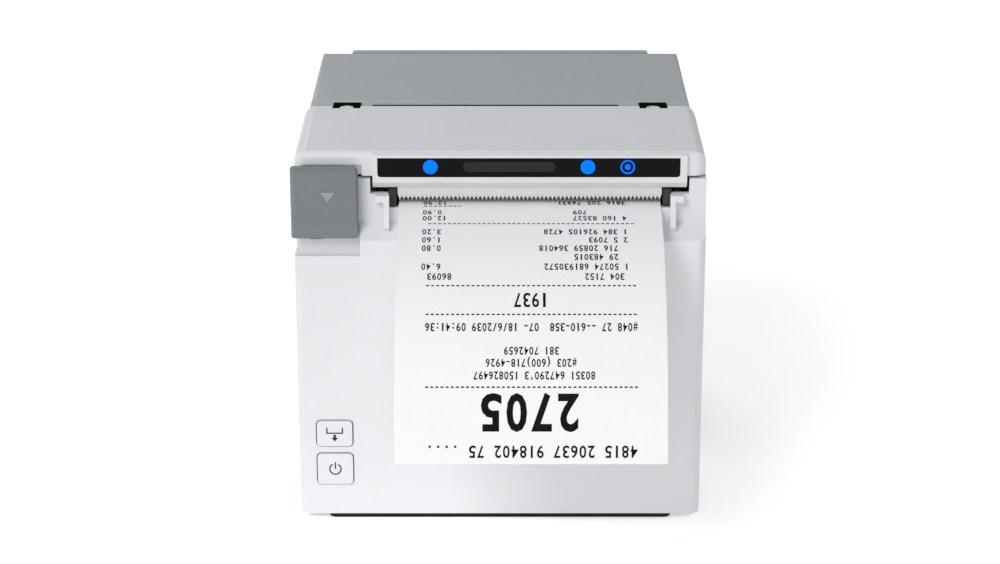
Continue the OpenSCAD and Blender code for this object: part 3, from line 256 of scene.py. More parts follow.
    @classmethod
    def wound(cls) -> bpy.types.NodeTree:
        """Layers of a wound roll as rings about its axis: height and a tone mask."""
        tree = cls.new_group(Effect.WOUND, {"Amount": 0.3}, ["Height", "Mask"])
        coordinate = tree.nodes.new("ShaderNodeTexCoord")
        mapping = tree.nodes.new("ShaderNodeMapping")
        socket_value(mapping, "Location", (0.0, -ROLL_AXIS[0], -ROLL_AXIS[1]))
        rings = tree.nodes.new("ShaderNodeTexWave")
        rings.wave_type = "RINGS"
        rings.rings_direction = "X"
        socket_value(rings, "Scale", 260.0)
        socket_value(rings, "Distortion", 0.6)
        tree.links.new(coordinate.outputs["Object"], mapping.inputs["Vector"])
        tree.links.new(mapping.outputs["Vector"], rings.inputs["Vector"])
        start, end = tree.nodes["in"], tree.nodes["out"]
        scaled = tree.nodes.new("ShaderNodeMath")
        scaled.operation = "MULTIPLY"
        tree.links.new(rings.outputs["Fac"], scaled.inputs[0])
        tree.links.new(start.outputs["Amount"], scaled.inputs[1])
        tree.links.new(rings.outputs["Fac"], end.inputs["Height"])
        tree.links.new(scaled.outputs[0], end.inputs["Mask"])
        return tree

    @classmethod
    def place(cls, tree: bpy.types.NodeTree, effect: Effect, values: dict[str, float]) -> bpy.types.Node:
        """Places a group in a material.

        Args:
            tree: The material's node tree.
            effect: The effect to place.
            values: Its input values.

        Returns:
            The group node.
        """
        makers = {
            Effect.GRAIN: cls.grain, Effect.SOIL: cls.soil, Effect.BRUSH: cls.brush,
            Effect.FIBRE: cls.fibre, Effect.WOUND: cls.wound,
        }
        node = tree.nodes.new("ShaderNodeGroup")
        node.node_tree = bpy.data.node_groups.get(effect.value) or makers[effect]()
        for name, value in values.items():
            socket_value(node, name, value)
        return node


@dataclass(frozen=True)
class Finish:
    """A finish: base colour, shine and the effect that breaks up its surface."""

    name: str
    colour: Colour
    roughness: float = 0.5
    spread: float = 0.08
    metallic: float = 0.0
    soil: float = 0.04
    soil_colour: Colour = (0.3, 0.29, 0.27)
    bump: float = 0.08
    effect: Effect = Effect.GRAIN
    coat: float = 0.0
    specular: float = 0.5
    glow: float = 0.0

    def material(self) -> bpy.types.Material:
        """Builds the finish once and returns its material."""
        found = bpy.data.materials.get(self.name)
        if found:
            return found
        material = bpy.data.materials.new(self.name)
        material.use_nodes = True
        tree = material.node_tree
        shader = tree.nodes["Principled BSDF"]
        socket_value(shader, "Metallic", self.metallic)
        socket_value(shader, "Coat Weight", self.coat)
        socket_value(shader, "Coat Roughness", 0.08)
        socket_value(shader, "Specular IOR Level", self.specular)
        if self.effect in (Effect.FIBRE, Effect.WOUND):
            effect = Effects.place(tree, self.effect, {"Amount": self.soil})
            socket_value(shader, "Roughness", self.roughness)
            mask = effect.outputs["Mask"]
        else:
            effect = Effects.place(tree, self.effect, {"Roughness": self.roughness, "Spread": self.spread})
            tree.links.new(effect.outputs["Roughness"], shader.inputs["Roughness"])
            mask = Effects.place(tree, Effect.SOIL, {"Amount": self.soil}).outputs["Mask"]
        mix = tree.nodes.new("ShaderNodeMix")
        mix.data_type = "RGBA"
        mix.inputs[7].default_value = (*self.soil_colour, 1.0)
        mix.inputs[6].default_value = (*self.colour, 1.0)
        tree.links.new(mask, mix.inputs[0])
        tree.links.new(mix.outputs[2], shader.inputs["Base Color"])
        bump = tree.nodes.new("ShaderNodeBump")
        socket_value(bump, "Strength", self.bump)
        socket_value(bump, "Distance", 0.0001)
        tree.links.new(effect.outputs["Height"], bump.inputs["Height"])
        tree.links.new(bump.outputs["Normal"], shader.inputs["Normal"])
        if self.glow > 0:
            tree.links.new(mix.outputs[2], shader.inputs["Emission Color"])
            socket_value(shader, "Emission Strength", self.glow)
        return material


WHITE = Finish("white_moulding", (0.73, 0.735, 0.745), 0.42, soil=0.05, soil_colour=(0.64, 0.64, 0.63))
GREY = Finish("grey_moulding", (0.4, 0.425, 0.44), 0.36, soil=0.16,
              soil_colour=(0.33, 0.345, 0.355), bump=0.16)
LEVER = Finish("lever_moulding", (0.172, 0.19, 0.2), 0.46, soil=0.06, soil_colour=(0.22, 0.23, 0.24))
DARK = Finish("dark_moulding", (0.018, 0.018, 0.02), 0.5, soil=0.1, soil_colour=(0.08, 0.08, 0.08))
BASE = Finish("base_moulding", (0.006, 0.006, 0.007), 0.6, soil=0.08,
              soil_colour=(0.03, 0.03, 0.03), specular=0.2)
# Painted shade: near-black finish for strips set where there is only shadow, in the seam gap and the screw
# notches.
SHADE = Finish("painted_seam_shade", (0.004, 0.004, 0.004), 0.8, soil=0.1,
               soil_colour=(0.012, 0.012, 0.012), specular=0.08)
GOLD = Finish("contact_gold", (0.83, 0.62, 0.27), 0.24, 0.1, 1.0, 0.05, effect=Effect.BRUSH)
PALE = Finish("pale_moulding", (0.6, 0.6, 0.59), 0.4, soil=0.05)
WINDOW = Finish("window_gloss", (0.003, 0.003, 0.0035), 0.16, spread=0.03, soil=0.02, bump=0.01,
                specular=0.12, soil_colour=(0.03, 0.03, 0.03))
SENSOR = Finish("sensor_tint", (0.022, 0.018, 0.016), 0.2, spread=0.03, soil=0.05, bump=0.01, specular=0.2,
                soil_colour=(0.06, 0.05, 0.045))
BLUE = Finish("blue_glow", (0.0, 0.14, 0.95), 0.3, soil=0.04, soil_colour=(0.0, 0.2, 1.0), bump=0.01,
              specular=0.05, glow=0.65)
STEEL = Finish("rolled_steel", (0.55, 0.56, 0.57), 0.26, 0.16, 1.0, 0.06, effect=Effect.BRUSH)
ALUMINIUM = Finish("drawn_aluminium", (0.72, 0.72, 0.73), 0.3, 0.16, 1.0, 0.04, effect=Effect.BRUSH)
CERAMIC = Finish("glazed_ceramic", (0.05, 0.045, 0.045), 0.15, 0.04, soil=0.05, coat=0.6)
RUBBER = Finish("ground_rubber", (0.022, 0.022, 0.022), 0.75, 0.1, soil=0.15, soil_colour=(0.09, 0.09, 0.088))
PAPER = Finish("coated_paper", (0.91, 0.91, 0.91), 0.5, soil=0.06, soil_colour=(0.8, 0.8, 0.79), bump=0.04,
               effect=Effect.FIBRE)
ROLL = Finish("wound_paper", (0.88, 0.88, 0.875), 0.55, soil=0.35, soil_colour=(0.66, 0.66, 0.65), bump=0.12,
              effect=Effect.WOUND)
CORE = Finish("core_cardboard", (0.42, 0.31, 0.2), 0.8, soil=0.5, soil_colour=(0.3, 0.21, 0.13),
              effect=Effect.FIBRE)
BOARD = Finish("solder_mask", (0.012, 0.11, 0.05), 0.35, soil=0.25, soil_colour=(0.02, 0.16, 0.08), coat=0.4)
TEAR = Finish("tear_moulding", (0.68, 0.68, 0.68), 0.35, soil=0.05)
INK = Finish("print_black", (0.006, 0.006, 0.007), 0.7, soil=0.15,
             soil_colour=(0.03, 0.03, 0.03), specular=0.06)
ICON = Finish("icon_grey", (0.02, 0.021, 0.023), 0.6, soil=0.15,
              soil_colour=(0.06, 0.06, 0.06), specular=0.15)
# Painted highlight: a lighter grey for the front face of the raised arrow on the lever, which is the lever's
# own plastic.
MARK_HIGHLIGHT = Finish("lever_mark_painted_highlight", (0.3, 0.315, 0.325), 0.5, soil=0.05, soil_colour=(0.27, 0.28, 0.29))
ZINC = Finish("bright_zinc", (0.86, 0.87, 0.88), 0.34, 0.1, 0.8, 0.05, effect=Effect.BRUSH)

NODE_FINISH: dict[str, Finish] = {
    "base_plate": DARK, "rear_plate": GREY, "cover_screws": STEEL, "hinge_pins": STEEL,
    "indicator_window": WINDOW, "indicator_lamps": BLUE, "sensor_window": SENSOR, "status_ring": BLUE,
    "indicator_board": BOARD, "tear_bar": TEAR, "lever_arm": STEEL, "lever_pin": STEEL, "lever_spring": STEEL,
    "latch_strike": STEEL, "button_board": BOARD, "button_switches": DARK, "chassis_plates": STEEL,
    "platen_roller": RUBBER, "platen_shaft": STEEL, "platen_gear": PALE, "platen_bearings": PALE,
    "idler_gear": PALE, "idler_axle": STEEL, "feed_motor": STEEL, "motor_pinion": PALE, "print_head": CERAMIC,
    "heat_sink": ALUMINIUM, "head_springs": STEEL, "head_bracket": STEEL, "cutter_frame": DARK,
    "cutter_blade": STEEL, "fixed_blade": STEEL, "cutter_pinion": PALE, "cutter_motor": STEEL,
    "paper_bucket": DARK, "paper_roll": PAPER, "roll_core": CORE, "paper_web": PAPER, "main_board": BOARD,
    "power_inlet": DARK, "data_port": STEEL, "network_port": STEEL, "drawer_port": DARK, "paper_sensor": DARK,
}


def deselect() -> None:
    """Leaves edit mode and clears the selection."""
    if bpy.context.object and bpy.context.object.mode != "OBJECT":
        bpy.ops.object.mode_set(mode="OBJECT")
    bpy.ops.object.select_all(action="DESELECT")


def activate(piece: bpy.types.Object) -> None:
    """Selects one piece alone and makes it active."""
    deselect()
    piece.select_set(True)
    bpy.context.view_layer.objects.active = piece


def apply_modifiers(piece: bpy.types.Object) -> None:
    """Applies every modifier of a piece in order."""
    activate(piece)
    for modifier in list(piece.modifiers):
        bpy.ops.object.modifier_apply(modifier=modifier.name)


def dress(piece: bpy.types.Object, finish: Finish) -> None:
    """Gives a piece one finish on all of its faces."""
    piece.data.materials.clear()
    piece.data.materials.append(finish.material())
    for polygon in piece.data.polygons:
        polygon.material_index = 0


def settle(piece: bpy.types.Object, name: str, body: str, finish: Finish) -> bpy.types.Object:
    """Names, places and dresses a finished piece, and lets it ride on its body.

    Args:
        piece: The finished mesh object.
        name: Its name.
        body: The body that it rides on.
        finish: Its finish.

    Returns:
        The same object.
    """
    activate(piece)
    bpy.ops.object.transform_apply(location=True, rotation=True, scale=True)
    piece.name = name
    dress(piece, finish)
    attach(piece, body)
    LOG.info("%s rides on %s", name, body)
    return piece


def merged(pieces: list[bpy.types.Object]) -> bpy.types.Object:
    """Joins meshes into the first one and returns it."""
    deselect()
    for piece in pieces:
        piece.select_set(True)
    bpy.context.view_layer.objects.active = pieces[0]
    if len(pieces) > 1:
        bpy.ops.object.join()
    return bpy.context.view_layer.objects.active


@dataclass
class SoftenedCase:
    """A moulded part: the solid's own faces, merged and given the small edge radius of the tool."""

    node: str
    body: str
    slot: Slot
    finish: Finish
    edge: float = 0.4 * MM
    segments: int = 3
    smooth_angle: float = math.radians(40)

    def build(self, frame: dict) -> bpy.types.Object:
        """Copies the solid, merges its triangles into faces and rounds its edges.


        Returns:
            The moulded piece.
        """
        source = frame["nodes"][self.node]
        piece = bpy.data.objects.new(f"{self.node}_moulding", source.data.copy())
        bpy.context.scene.collection.objects.link(piece)
        activate(piece)
        bpy.ops.object.mode_set(mode="EDIT")
        bpy.ops.mesh.select_all(action="SELECT")
        bpy.ops.mesh.remove_doubles(threshold=0.002 * MM)
        bpy.ops.mesh.dissolve_limited(angle_limit=math.radians(0.6))
        bpy.ops.object.mode_set(mode="OBJECT")
        if self.edge > 0:
            bevel = piece.modifiers.new("edge", "BEVEL")
            bevel.width = self.edge
            bevel.segments = self.segments
            bevel.limit_method = "ANGLE"
            bevel.angle_limit = math.radians(28)
            bevel.use_clamp_overlap = True
            bevel.miter_outer = "MITER_ARC"
            apply_modifiers(piece)
        activate(piece)
        bpy.ops.object.shade_smooth_by_angle(angle=self.smooth_angle)
        weights = piece.modifiers.new("flat_faces", "WEIGHTED_NORMAL")
        weights.keep_sharp = True
        weights.weight = 80
        apply_modifiers(piece)
        settle(piece, f"{self.node}_moulding", self.body, self.finish)
        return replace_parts(piece, self.node)


@dataclass
class CoilSpring:
    """Wire springs of one node, wound once and copied to each place."""

    node: str
    body: str
    feet: list[tuple[float, float, float]]
    axis: str
    radius: float
    wire: float
    length: float
    turns: int

    def build(self) -> bpy.types.Object:
        """Winds the spring, copies it and lets it stand for the node.

        Returns:
            The springs as one piece.
        """
        deselect()
        bpy.ops.mesh.primitive_circle_add(vertices=10, radius=self.wire, rotation=(math.pi / 2, 0, 0))
        coil = bpy.context.object
        bpy.ops.object.transform_apply(location=False, rotation=True, scale=False)
        for vertex in coil.data.vertices:
            vertex.co.x += self.radius
            vertex.co.z += self.wire
        screw = coil.modifiers.new("winding", "SCREW")
        screw.axis = "Z"
        screw.iterations = self.turns
        screw.steps = 24
        screw.screw_offset = (self.length - 2 * self.wire) / self.turns
        screw.use_normal_calculate = True
        apply_modifiers(coil)
        if self.axis == "X":
            coil.rotation_euler = (0, math.pi / 2, 0)
            bpy.ops.object.transform_apply(location=False, rotation=True, scale=False)
        copies = []
        for foot in self.feet:
            copy = bpy.data.objects.new("coil", coil.data.copy())
            bpy.context.scene.collection.objects.link(copy)
            copy.location = foot
            activate(copy)
            bpy.ops.object.transform_apply(location=True, rotation=True, scale=True)
            copies.append(copy)
        bpy.data.objects.remove(coil)
        piece = merged(copies)
        bpy.ops.object.shade_smooth()
        settle(piece, f"{self.node}_coils", self.body, STEEL)
        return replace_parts(piece, self.node)


@dataclass(frozen=True)
class Block:
    """A small box-shaped piece, by its two opposite corners in millimetres."""

    low: tuple[float, float, float]
    high: tuple[float, float, float]

    def mesh(self) -> bpy.types.Object:
        """Adds the box with its place in its mesh."""
        deselect()
        bpy.ops.mesh.primitive_cube_add(size=1.0)
        piece = bpy.context.object
        for vertex in piece.data.vertices:
            vertex.co = Vector(
                (low + (high - low) * (part + 0.5)) * MM
                for low, high, part in zip(self.low, self.high, vertex.co)
            )
        return piece


@dataclass
class SmallParts:
    """Painted shade in the seam and the screw notches (black strips standing in for shadow), the strip behind
    the teeth, and the contacts in the ports.
    """

    screw_x: float = 49.0

    @staticmethod
    def set_of(name: str, blocks: list[Block], body: str, slot: Slot, finish: Finish) -> bpy.types.Object:
        """Joins blocks into one named piece."""
        return settle(merged([block.mesh() for block in blocks]), name, body, finish)

    def notch_shade_walls(self, x: float) -> list[Block]:
        """Thin black walls and floor of painted shade in the notch round one screw head."""
        return [
            Block((x - 4.4, -2.1, 116.25), (x + 4.4, -1.95, 118.2)),
            Block((x - 4.45, -9.8, 116.25), (x - 4.3, -1.95, 117.9)),
            Block((x + 4.3, -9.8, 116.25), (x + 4.45, -1.95, 117.9)),
            Block((x - 4.4, -9.8, 116.22), (x + 4.4, -1.95, 116.32)),
        ]

    @staticmethod
    def contact_row(
        x: float, count: int, pitch: float, half: float, depth: tuple[float, float],
        height: tuple[float, float]
    ) -> list[Block]:
        """Lays out a row of contacts in one port.

        Args:
            x: Middle of the row.
            count: Number of contacts.
            pitch: Distance between contacts.
            half: Half a contact's width.
            depth: Front and rear of the contacts.
            height: Lower and upper faces of the contacts.

        Returns:
            The contacts from left to right.
        """
        middles = [x + pitch * (i - (count - 1) / 2) for i in range(count)]
        return [
            Block((middle - half, depth[0], height[0]), (middle + half, depth[1], height[1]))
            for middle in middles
        ]

    def build(self) -> None:
        """Makes every small part."""
        # Painted shade: a black strip in the seam gap between the white cover and the grey lid, and black
        # walls and floors in the screw notches.
        seam = [Block((-40.8, -7.25, 116.3), (37.8, -5.2, 118.35))]
        self.set_of("seam_painted_shade", seam, "cover", Slot.DARK, SHADE)
        shade_walls = self.notch_shade_walls(-self.screw_x) + self.notch_shade_walls(self.screw_x)
        self.set_of("notch_painted_shade", shade_walls, "cover", Slot.DARK, SHADE)
        backing = [Block((-30.8, -56.7, 103.8), (48.8, -56.45, 105.1))]
        self.set_of("tear_backing", backing, "cover", Slot.PALE, TEAR)
        contacts = self.contact_row(13.0, 8, 1.02, 0.2, (55.5, 62.5), (12.0, 12.35))
        contacts += self.contact_row(32.0, 6, 1.2, 0.22, (56.0, 62.5), (12.2, 12.6))
        contacts += self.contact_row(-5.0, 3, 1.6, 0.3, (56.0, 62.0), (13.6, 13.9))
        self.set_of("port_contacts", contacts, "case", Slot.STEEL, GOLD)
        pin = [Block((-22.9, 55.5, 12.8), (-21.1, 62.8, 14.6))]
        self.set_of("inlet_pin", pin, "case", Slot.STEEL, STEEL)


@dataclass
class Receipt:
    """The printed receipt: a curled sheet with rows of plain numerals and rules on its upper side."""

    width: float = 79.5 * MM
    middle: float = 9.0 * MM
    thickness: float = 0.1 * MM
    curl: float = 72.0 * MM
    start_angle: float = math.radians(9)
    end_angle: float = math.radians(78)
    tail: float = 4.5 * MM
    exit_y: float = -56.0 * MM
    inner_y: float = -49.0 * MM
    platen_y: float = -38.0 * MM
    platen_top: float = 103.3 * MM
    ink_lift: float = 0.03 * MM
    steps: int = 96
    path: list[Vector] = field(default_factory=list)
    reach: list[float] = field(default_factory=list)

    def __post_init__(self) -> None:
        """Lays out the sheet's middle line from inside the slot to its free end."""
        fall = (self.platen_y - self.exit_y) / math.sin(self.start_angle)
        points = []
        for i in range(8):
            y = self.inner_y + (self.exit_y - self.inner_y) * i / 8
            points.append(Vector((y, self.platen_top - fall + math.sqrt(fall**2 - (self.platen_y - y) ** 2))))
        exit_z = self.platen_top - fall + math.sqrt(fall**2 - (self.platen_y - self.exit_y) ** 2)
        sin0, cos0 = math.sin(self.start_angle), math.cos(self.start_angle)
        for i in range(self.steps + 1):
            angle = self.start_angle + (self.end_angle - self.start_angle) * i / self.steps
            points.append(Vector((self.exit_y - self.curl * (math.sin(angle) - sin0),
                                  exit_z - self.curl * (cos0 - math.cos(angle)))))
        last = points[-1]
        heading = Vector((-math.cos(self.end_angle), -math.sin(self.end_angle)))
        points += [last + heading * self.tail * i / 4 for i in range(1, 5)]
        self.path = points
        self.reach = [0.0]
        for a, b in zip(points, points[1:]):
            self.reach.append(self.reach[-1] + (b - a).length)

    def at(self, along: float) -> tuple[Vector, Vector]:
        """Gives the line's point and its upward normal at a length from the inner end.

        Args:
            along: Length from the inner end.

        Returns:
            The point and the normal, each as (y, z).
        """
        along = min(max(along, 0.0), self.reach[-1])
        i = next(k for k in range(1, len(self.reach)) if self.reach[k] >= along - 1e-12)
        a, b = self.path[i - 1], self.path[i]
        share = (along - self.reach[i - 1]) / (self.reach[i] - self.reach[i - 1])
        heading = (b - a).normalized()
        return a.lerp(b, share), Vector((-heading.y, heading.x)) * -1

    def sheet(self) -> bpy.types.Object:
        """Builds the curled sheet from a grid that is bent along the middle line."""
        deselect()
        rows = len(self.path) - 1
        bpy.ops.mesh.primitive_grid_add(x_subdivisions=12, y_subdivisions=rows, size=1.0)
        piece = bpy.context.object
        for vertex in piece.data.vertices:
            along = (vertex.co.y + 0.5) * self.reach[-1]
            point, _normal = self.at(along)
            vertex.co = Vector((self.middle + vertex.co.x * self.width, point.x, point.y))
        activate(piece)
        bpy.ops.object.mode_set(mode="EDIT")
        bpy.ops.mesh.select_all(action="SELECT")
        bpy.ops.mesh.normals_make_consistent(inside=False)
        bpy.ops.object.mode_set(mode="OBJECT")
        solidify = piece.modifiers.new("paper", "SOLIDIFY")
        solidify.thickness = self.thickness
        solidify.offset = 0.0
        apply_modifiers(piece)
        bpy.ops.object.shade_smooth_by_angle(angle=math.radians(30))
        settle(piece, "receipt_sheet", "case", PAPER)
        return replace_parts(piece, "receipt")

    def laid(self, mesh: bpy.types.Object) -> bpy.types.Object:
        """Wraps flat print on the sheet's upper side, read from the free end.

        Args:
            mesh: Flat print, with x the distance across and y the distance from the free end.

        Returns:
            The same object, wrapped.
        """
        for vertex in mesh.data.vertices:
            point, normal = self.at(self.reach[-1] - vertex.co.y)
            lift = normal * (self.thickness / 2 + self.ink_lift)
            vertex.co = Vector((vertex.co.x, point.x + lift.x, point.y + lift.y))
        return mesh


@dataclass(frozen=True)
class PrintRow:
    """One row of print in a fixed pitch: its signs, where it starts and its letter height."""

    signs: str
    start: float
    base: float
    height: float = 2.4
    pitch: float = 1.484
    bold: float = 0.026


@dataclass
class ReceiptPrint:
    """The print on the receipt: plain numerals and dashed rules in a fixed pitch."""

    receipt: Receipt
    full_height: float = 0.73
    fill: float = 0.8
    band: float = 1.6 * MM
    signs: dict[tuple[str, float], bpy.types.Object] = field(default_factory=dict)

    @staticmethod
    def rows() -> list[PrintRow]:
        """Lists the rows, in millimetres from the sheet's middle line and its free end."""
        rule = "-" * 42
        rows = [
            PrintRow("4815 20637 918402 75 ....", 40.1, 5.4, 3.7, 2.47, 0.022),
            PrintRow("2705", 23.6, 20.2, 10.9, 7.5, 0.038),
            PrintRow(rule, 40.3, 23.2), PrintRow(rule, 40.3, 45.1), PrintRow(rule, 40.3, 54.6),
            PrintRow(rule, 40.5, 79.6), PrintRow("-" * 8, -11.4, 89.3),
            PrintRow("80351 647290'3 150826497", 27.8, 27.0),
            PrintRow("#203 (600)718-4926", 22.4, 30.7),
            PrintRow("381 7042659", 17.3, 34.3),
            PrintRow("#048 27 --610-358  07- 18/6/2039 09:41:36", 40.3, 41.6, 2.6, 1.52),
            PrintRow("1937", 14.3, 51.3, 4.8, 2.6, 0.02),
            PrintRow("304 7152", 36.8, 58.2), PrintRow("86093", -14.2, 58.2),
        ]
        items = [
            ("1 50274 681930572", "6.40", 61.8), ("  29 483015", "", 65.5),
            ("  716 20859 364018", "0.80", 69.0), ("2 5 7093", "1.60", 72.5),
            ("1 384 926105 4728", "3.20", 76.1), ("4 160 83527", "12.00", 82.8),
            ("        709", "0.90", 86.0), ("3816 205 74931", "12.90", 91.8),
        ]
        for name, price, base in items:
            rows.append(PrintRow(name, 38.2, base))
            if price:
                rows.append(PrintRow(price, -23.4 + 1.484 * len(price), base))
        return rows

    def sign(self, letter: str, bold: float) -> bpy.types.Object:
        """Models one sign, a cell wide and a unit high, and keeps it for copying.

        Args:
            letter: The sign.
            bold: How far its outline is pushed out, in heights.

        Returns:
            The flat mesh object, with its base line at y = 0.
        """
        if (letter, bold) not in self.signs:
            deselect()
            bpy.ops.object.text_add()
            text = bpy.context.object
            text.data.body = letter
            text.data.align_x = "CENTER"
            text.data.resolution_u = 3
            text.data.size = 1.0 / self.full_height
            text.data.offset = bold
            bpy.ops.object.convert(target="MESH")
            self.signs[letter, bold] = bpy.context.object
        return self.signs[letter, bold]

    def stamped(self, row: PrintRow) -> list[bpy.types.Object]:
        """Copies the signs of one row to their places, cut into bands where they are tall.

        Args:
            row: The row to print.

        Returns:
            The wrapped signs.
        """
        made = []
        for i, letter in enumerate(row.signs):
            if letter == " ":
                continue
            source = self.sign(letter, row.bold)
            piece = bpy.data.objects.new("sign", source.data.copy())
            bpy.context.scene.collection.objects.link(piece)
            wide = max(v.co.x for v in piece.data.vertices) - min(v.co.x for v in piece.data.vertices)
            squeeze = min(row.pitch * self.fill / wide, row.height * 0.95) * MM
            middle = (row.start - (i + 0.5) * row.pitch) * MM
            for vertex in piece.data.vertices:
                vertex.co = (middle - vertex.co.x * squeeze, (row.base - vertex.co.y * row.height) * MM, 0.0)
            bands = round(row.height * MM / self.band)
            if bands > 1:
                activate(piece)
                bpy.ops.object.mode_set(mode="EDIT")
                for k in range(1, bands):
                    bpy.ops.mesh.select_all(action="SELECT")
                    cut = (row.base - row.height * k / bands) * MM
                    bpy.ops.mesh.bisect(plane_co=(0, cut, 0), plane_no=(0, 1, 0))
                bpy.ops.object.mode_set(mode="OBJECT")
            made.append(self.receipt.laid(piece))
        return made

    def build(self) -> bpy.types.Object:
        """Lays every row on the receipt and joins them into one print.

        Returns:
            The printed marks as one piece.
        """
        pieces = [piece for row in self.rows() for piece in self.stamped(row)]
        for spare in self.signs.values():
            bpy.data.objects.remove(spare)
        return settle(merged(pieces), "receipt_print", "case", INK)


@dataclass
class ButtonIcons:
    """Printed signs on the two push buttons."""

    middle: float = -51.3 * MM
    face: float = -64.5 * MM
    feed_z: float = 29.2 * MM
    power_z: float = 17.3 * MM
    line: float = 0.42 * MM
    thick: float = 0.04 * MM

    def bar(self, x: float, z: float, width: float, height: float) -> bpy.types.Object:
        """Adds one flat bar of a sign, with rounded ends.

        Args:
            x: Middle across.
            z: Middle height.
            width: Size across.
            height: Size up.

        Returns:
            The bar.
        """
        deselect()
        bpy.ops.mesh.primitive_cube_add(size=1.0, location=(x, self.face, z))
        piece = bpy.context.object
        piece.scale = (width, self.thick, height)
        activate(piece)
        bpy.ops.object.transform_apply(location=True, rotation=True, scale=True)
        bpy.ops.object.mode_set(mode="EDIT")
        bpy.ops.mesh.select_all(action="SELECT")
        bpy.ops.mesh.bevel(offset=self.thick * 0.3, segments=1)
        bpy.ops.object.mode_set(mode="OBJECT")
        return piece

    def arc(self, x: float, z: float, radius: float, start: float, end: float) -> bpy.types.Object:
        """Adds a flat arc by spinning a small square about the sign's middle.

        Args:
            x: Middle across.
            z: Middle height.
            radius: Radius of the arc's middle line.
            start: First angle, from the right.
            end: Last angle.

        Returns:
            The arc.
        """
        deselect()
        bpy.ops.mesh.primitive_plane_add(size=1.0, location=(0, 0, 0))
        piece = bpy.context.object
        for vertex in piece.data.vertices:
            vertex.co = Vector((radius + vertex.co.x * self.line, vertex.co.y * self.thick, 0))
        turn = Matrix.Rotation(-start, 4, "Y")
        for vertex in piece.data.vertices:
            vertex.co = turn @ vertex.co
        activate(piece)
        bpy.ops.object.mode_set(mode="EDIT")
        bpy.ops.mesh.select_all(action="SELECT")
        bpy.ops.mesh.spin(steps=28, angle=end - start, center=(0, 0, 0), axis=(0, 1, 0))
        bpy.ops.mesh.select_all(action="SELECT")
        bpy.ops.mesh.remove_doubles(threshold=1e-7)
        bpy.ops.mesh.normals_make_consistent(inside=False)
        bpy.ops.object.mode_set(mode="OBJECT")
        piece.location = (x, self.face, z)
        bpy.ops.object.transform_apply(location=True, rotation=True, scale=True)
        return piece

    def arrow(self, x: float, z: float, width: float, height: float) -> bpy.types.Object:
        """Adds a flat triangle that points down."""
        deselect()
        bpy.ops.mesh.primitive_cylinder_add(vertices=3, radius=width / math.sqrt(3), depth=self.thick,
                                            location=(x, self.face, z), rotation=(math.pi / 2, 0, 0))
        piece = bpy.context.object
        activate(piece)
        bpy.ops.object.transform_apply(location=True, rotation=True, scale=True)
        low = min(v.co.z for v in piece.data.vertices)
        top = max(v.co.z for v in piece.data.vertices)
        upright = sum(v.co.z for v in piece.data.vertices) / 6 > (low + top) / 2
        for vertex in piece.data.vertices:
            share = (vertex.co.z - low) / (top - low)
            share = share if upright else 1 - share
            vertex.co.z = z + (share - 0.5) * height
        if not upright:
            bpy.ops.object.mode_set(mode="EDIT")
            bpy.ops.mesh.select_all(action="SELECT")
            bpy.ops.mesh.normals_make_consistent(inside=False)
            bpy.ops.object.mode_set(mode="OBJECT")
        return piece

    def build(self) -> list[bpy.types.Object]:
        """Makes the paper feed and power signs.

        Returns:
            Both signs.
        """
        x, z = self.middle, self.feed_z + 1.1 * MM
        tray = [
            self.bar(x - 2.4 * MM, z, self.line, 2.0 * MM),
            self.bar(x + 2.4 * MM, z, self.line, 2.0 * MM),
            self.bar(x, z - 0.9 * MM, 5.2 * MM, self.line),
            self.bar(x, z - 1.95 * MM, 0.75 * MM, 1.0 * MM),
            self.arrow(x, z - 3.05 * MM, 2.1 * MM, 1.3 * MM),
        ]
        feed = settle(merged(tray), "feed_sign", "feed_key", ICON)
        gap = math.radians(28)
        power = [
            self.arc(x, self.power_z, 1.75 * MM, math.pi / 2 + gap, math.pi * 2.5 - gap),
            self.bar(x, self.power_z + 1.2 * MM, self.line, 2.3 * MM),
        ]
        return [feed, settle(merged(power), "power_sign", "power_key", ICON)]


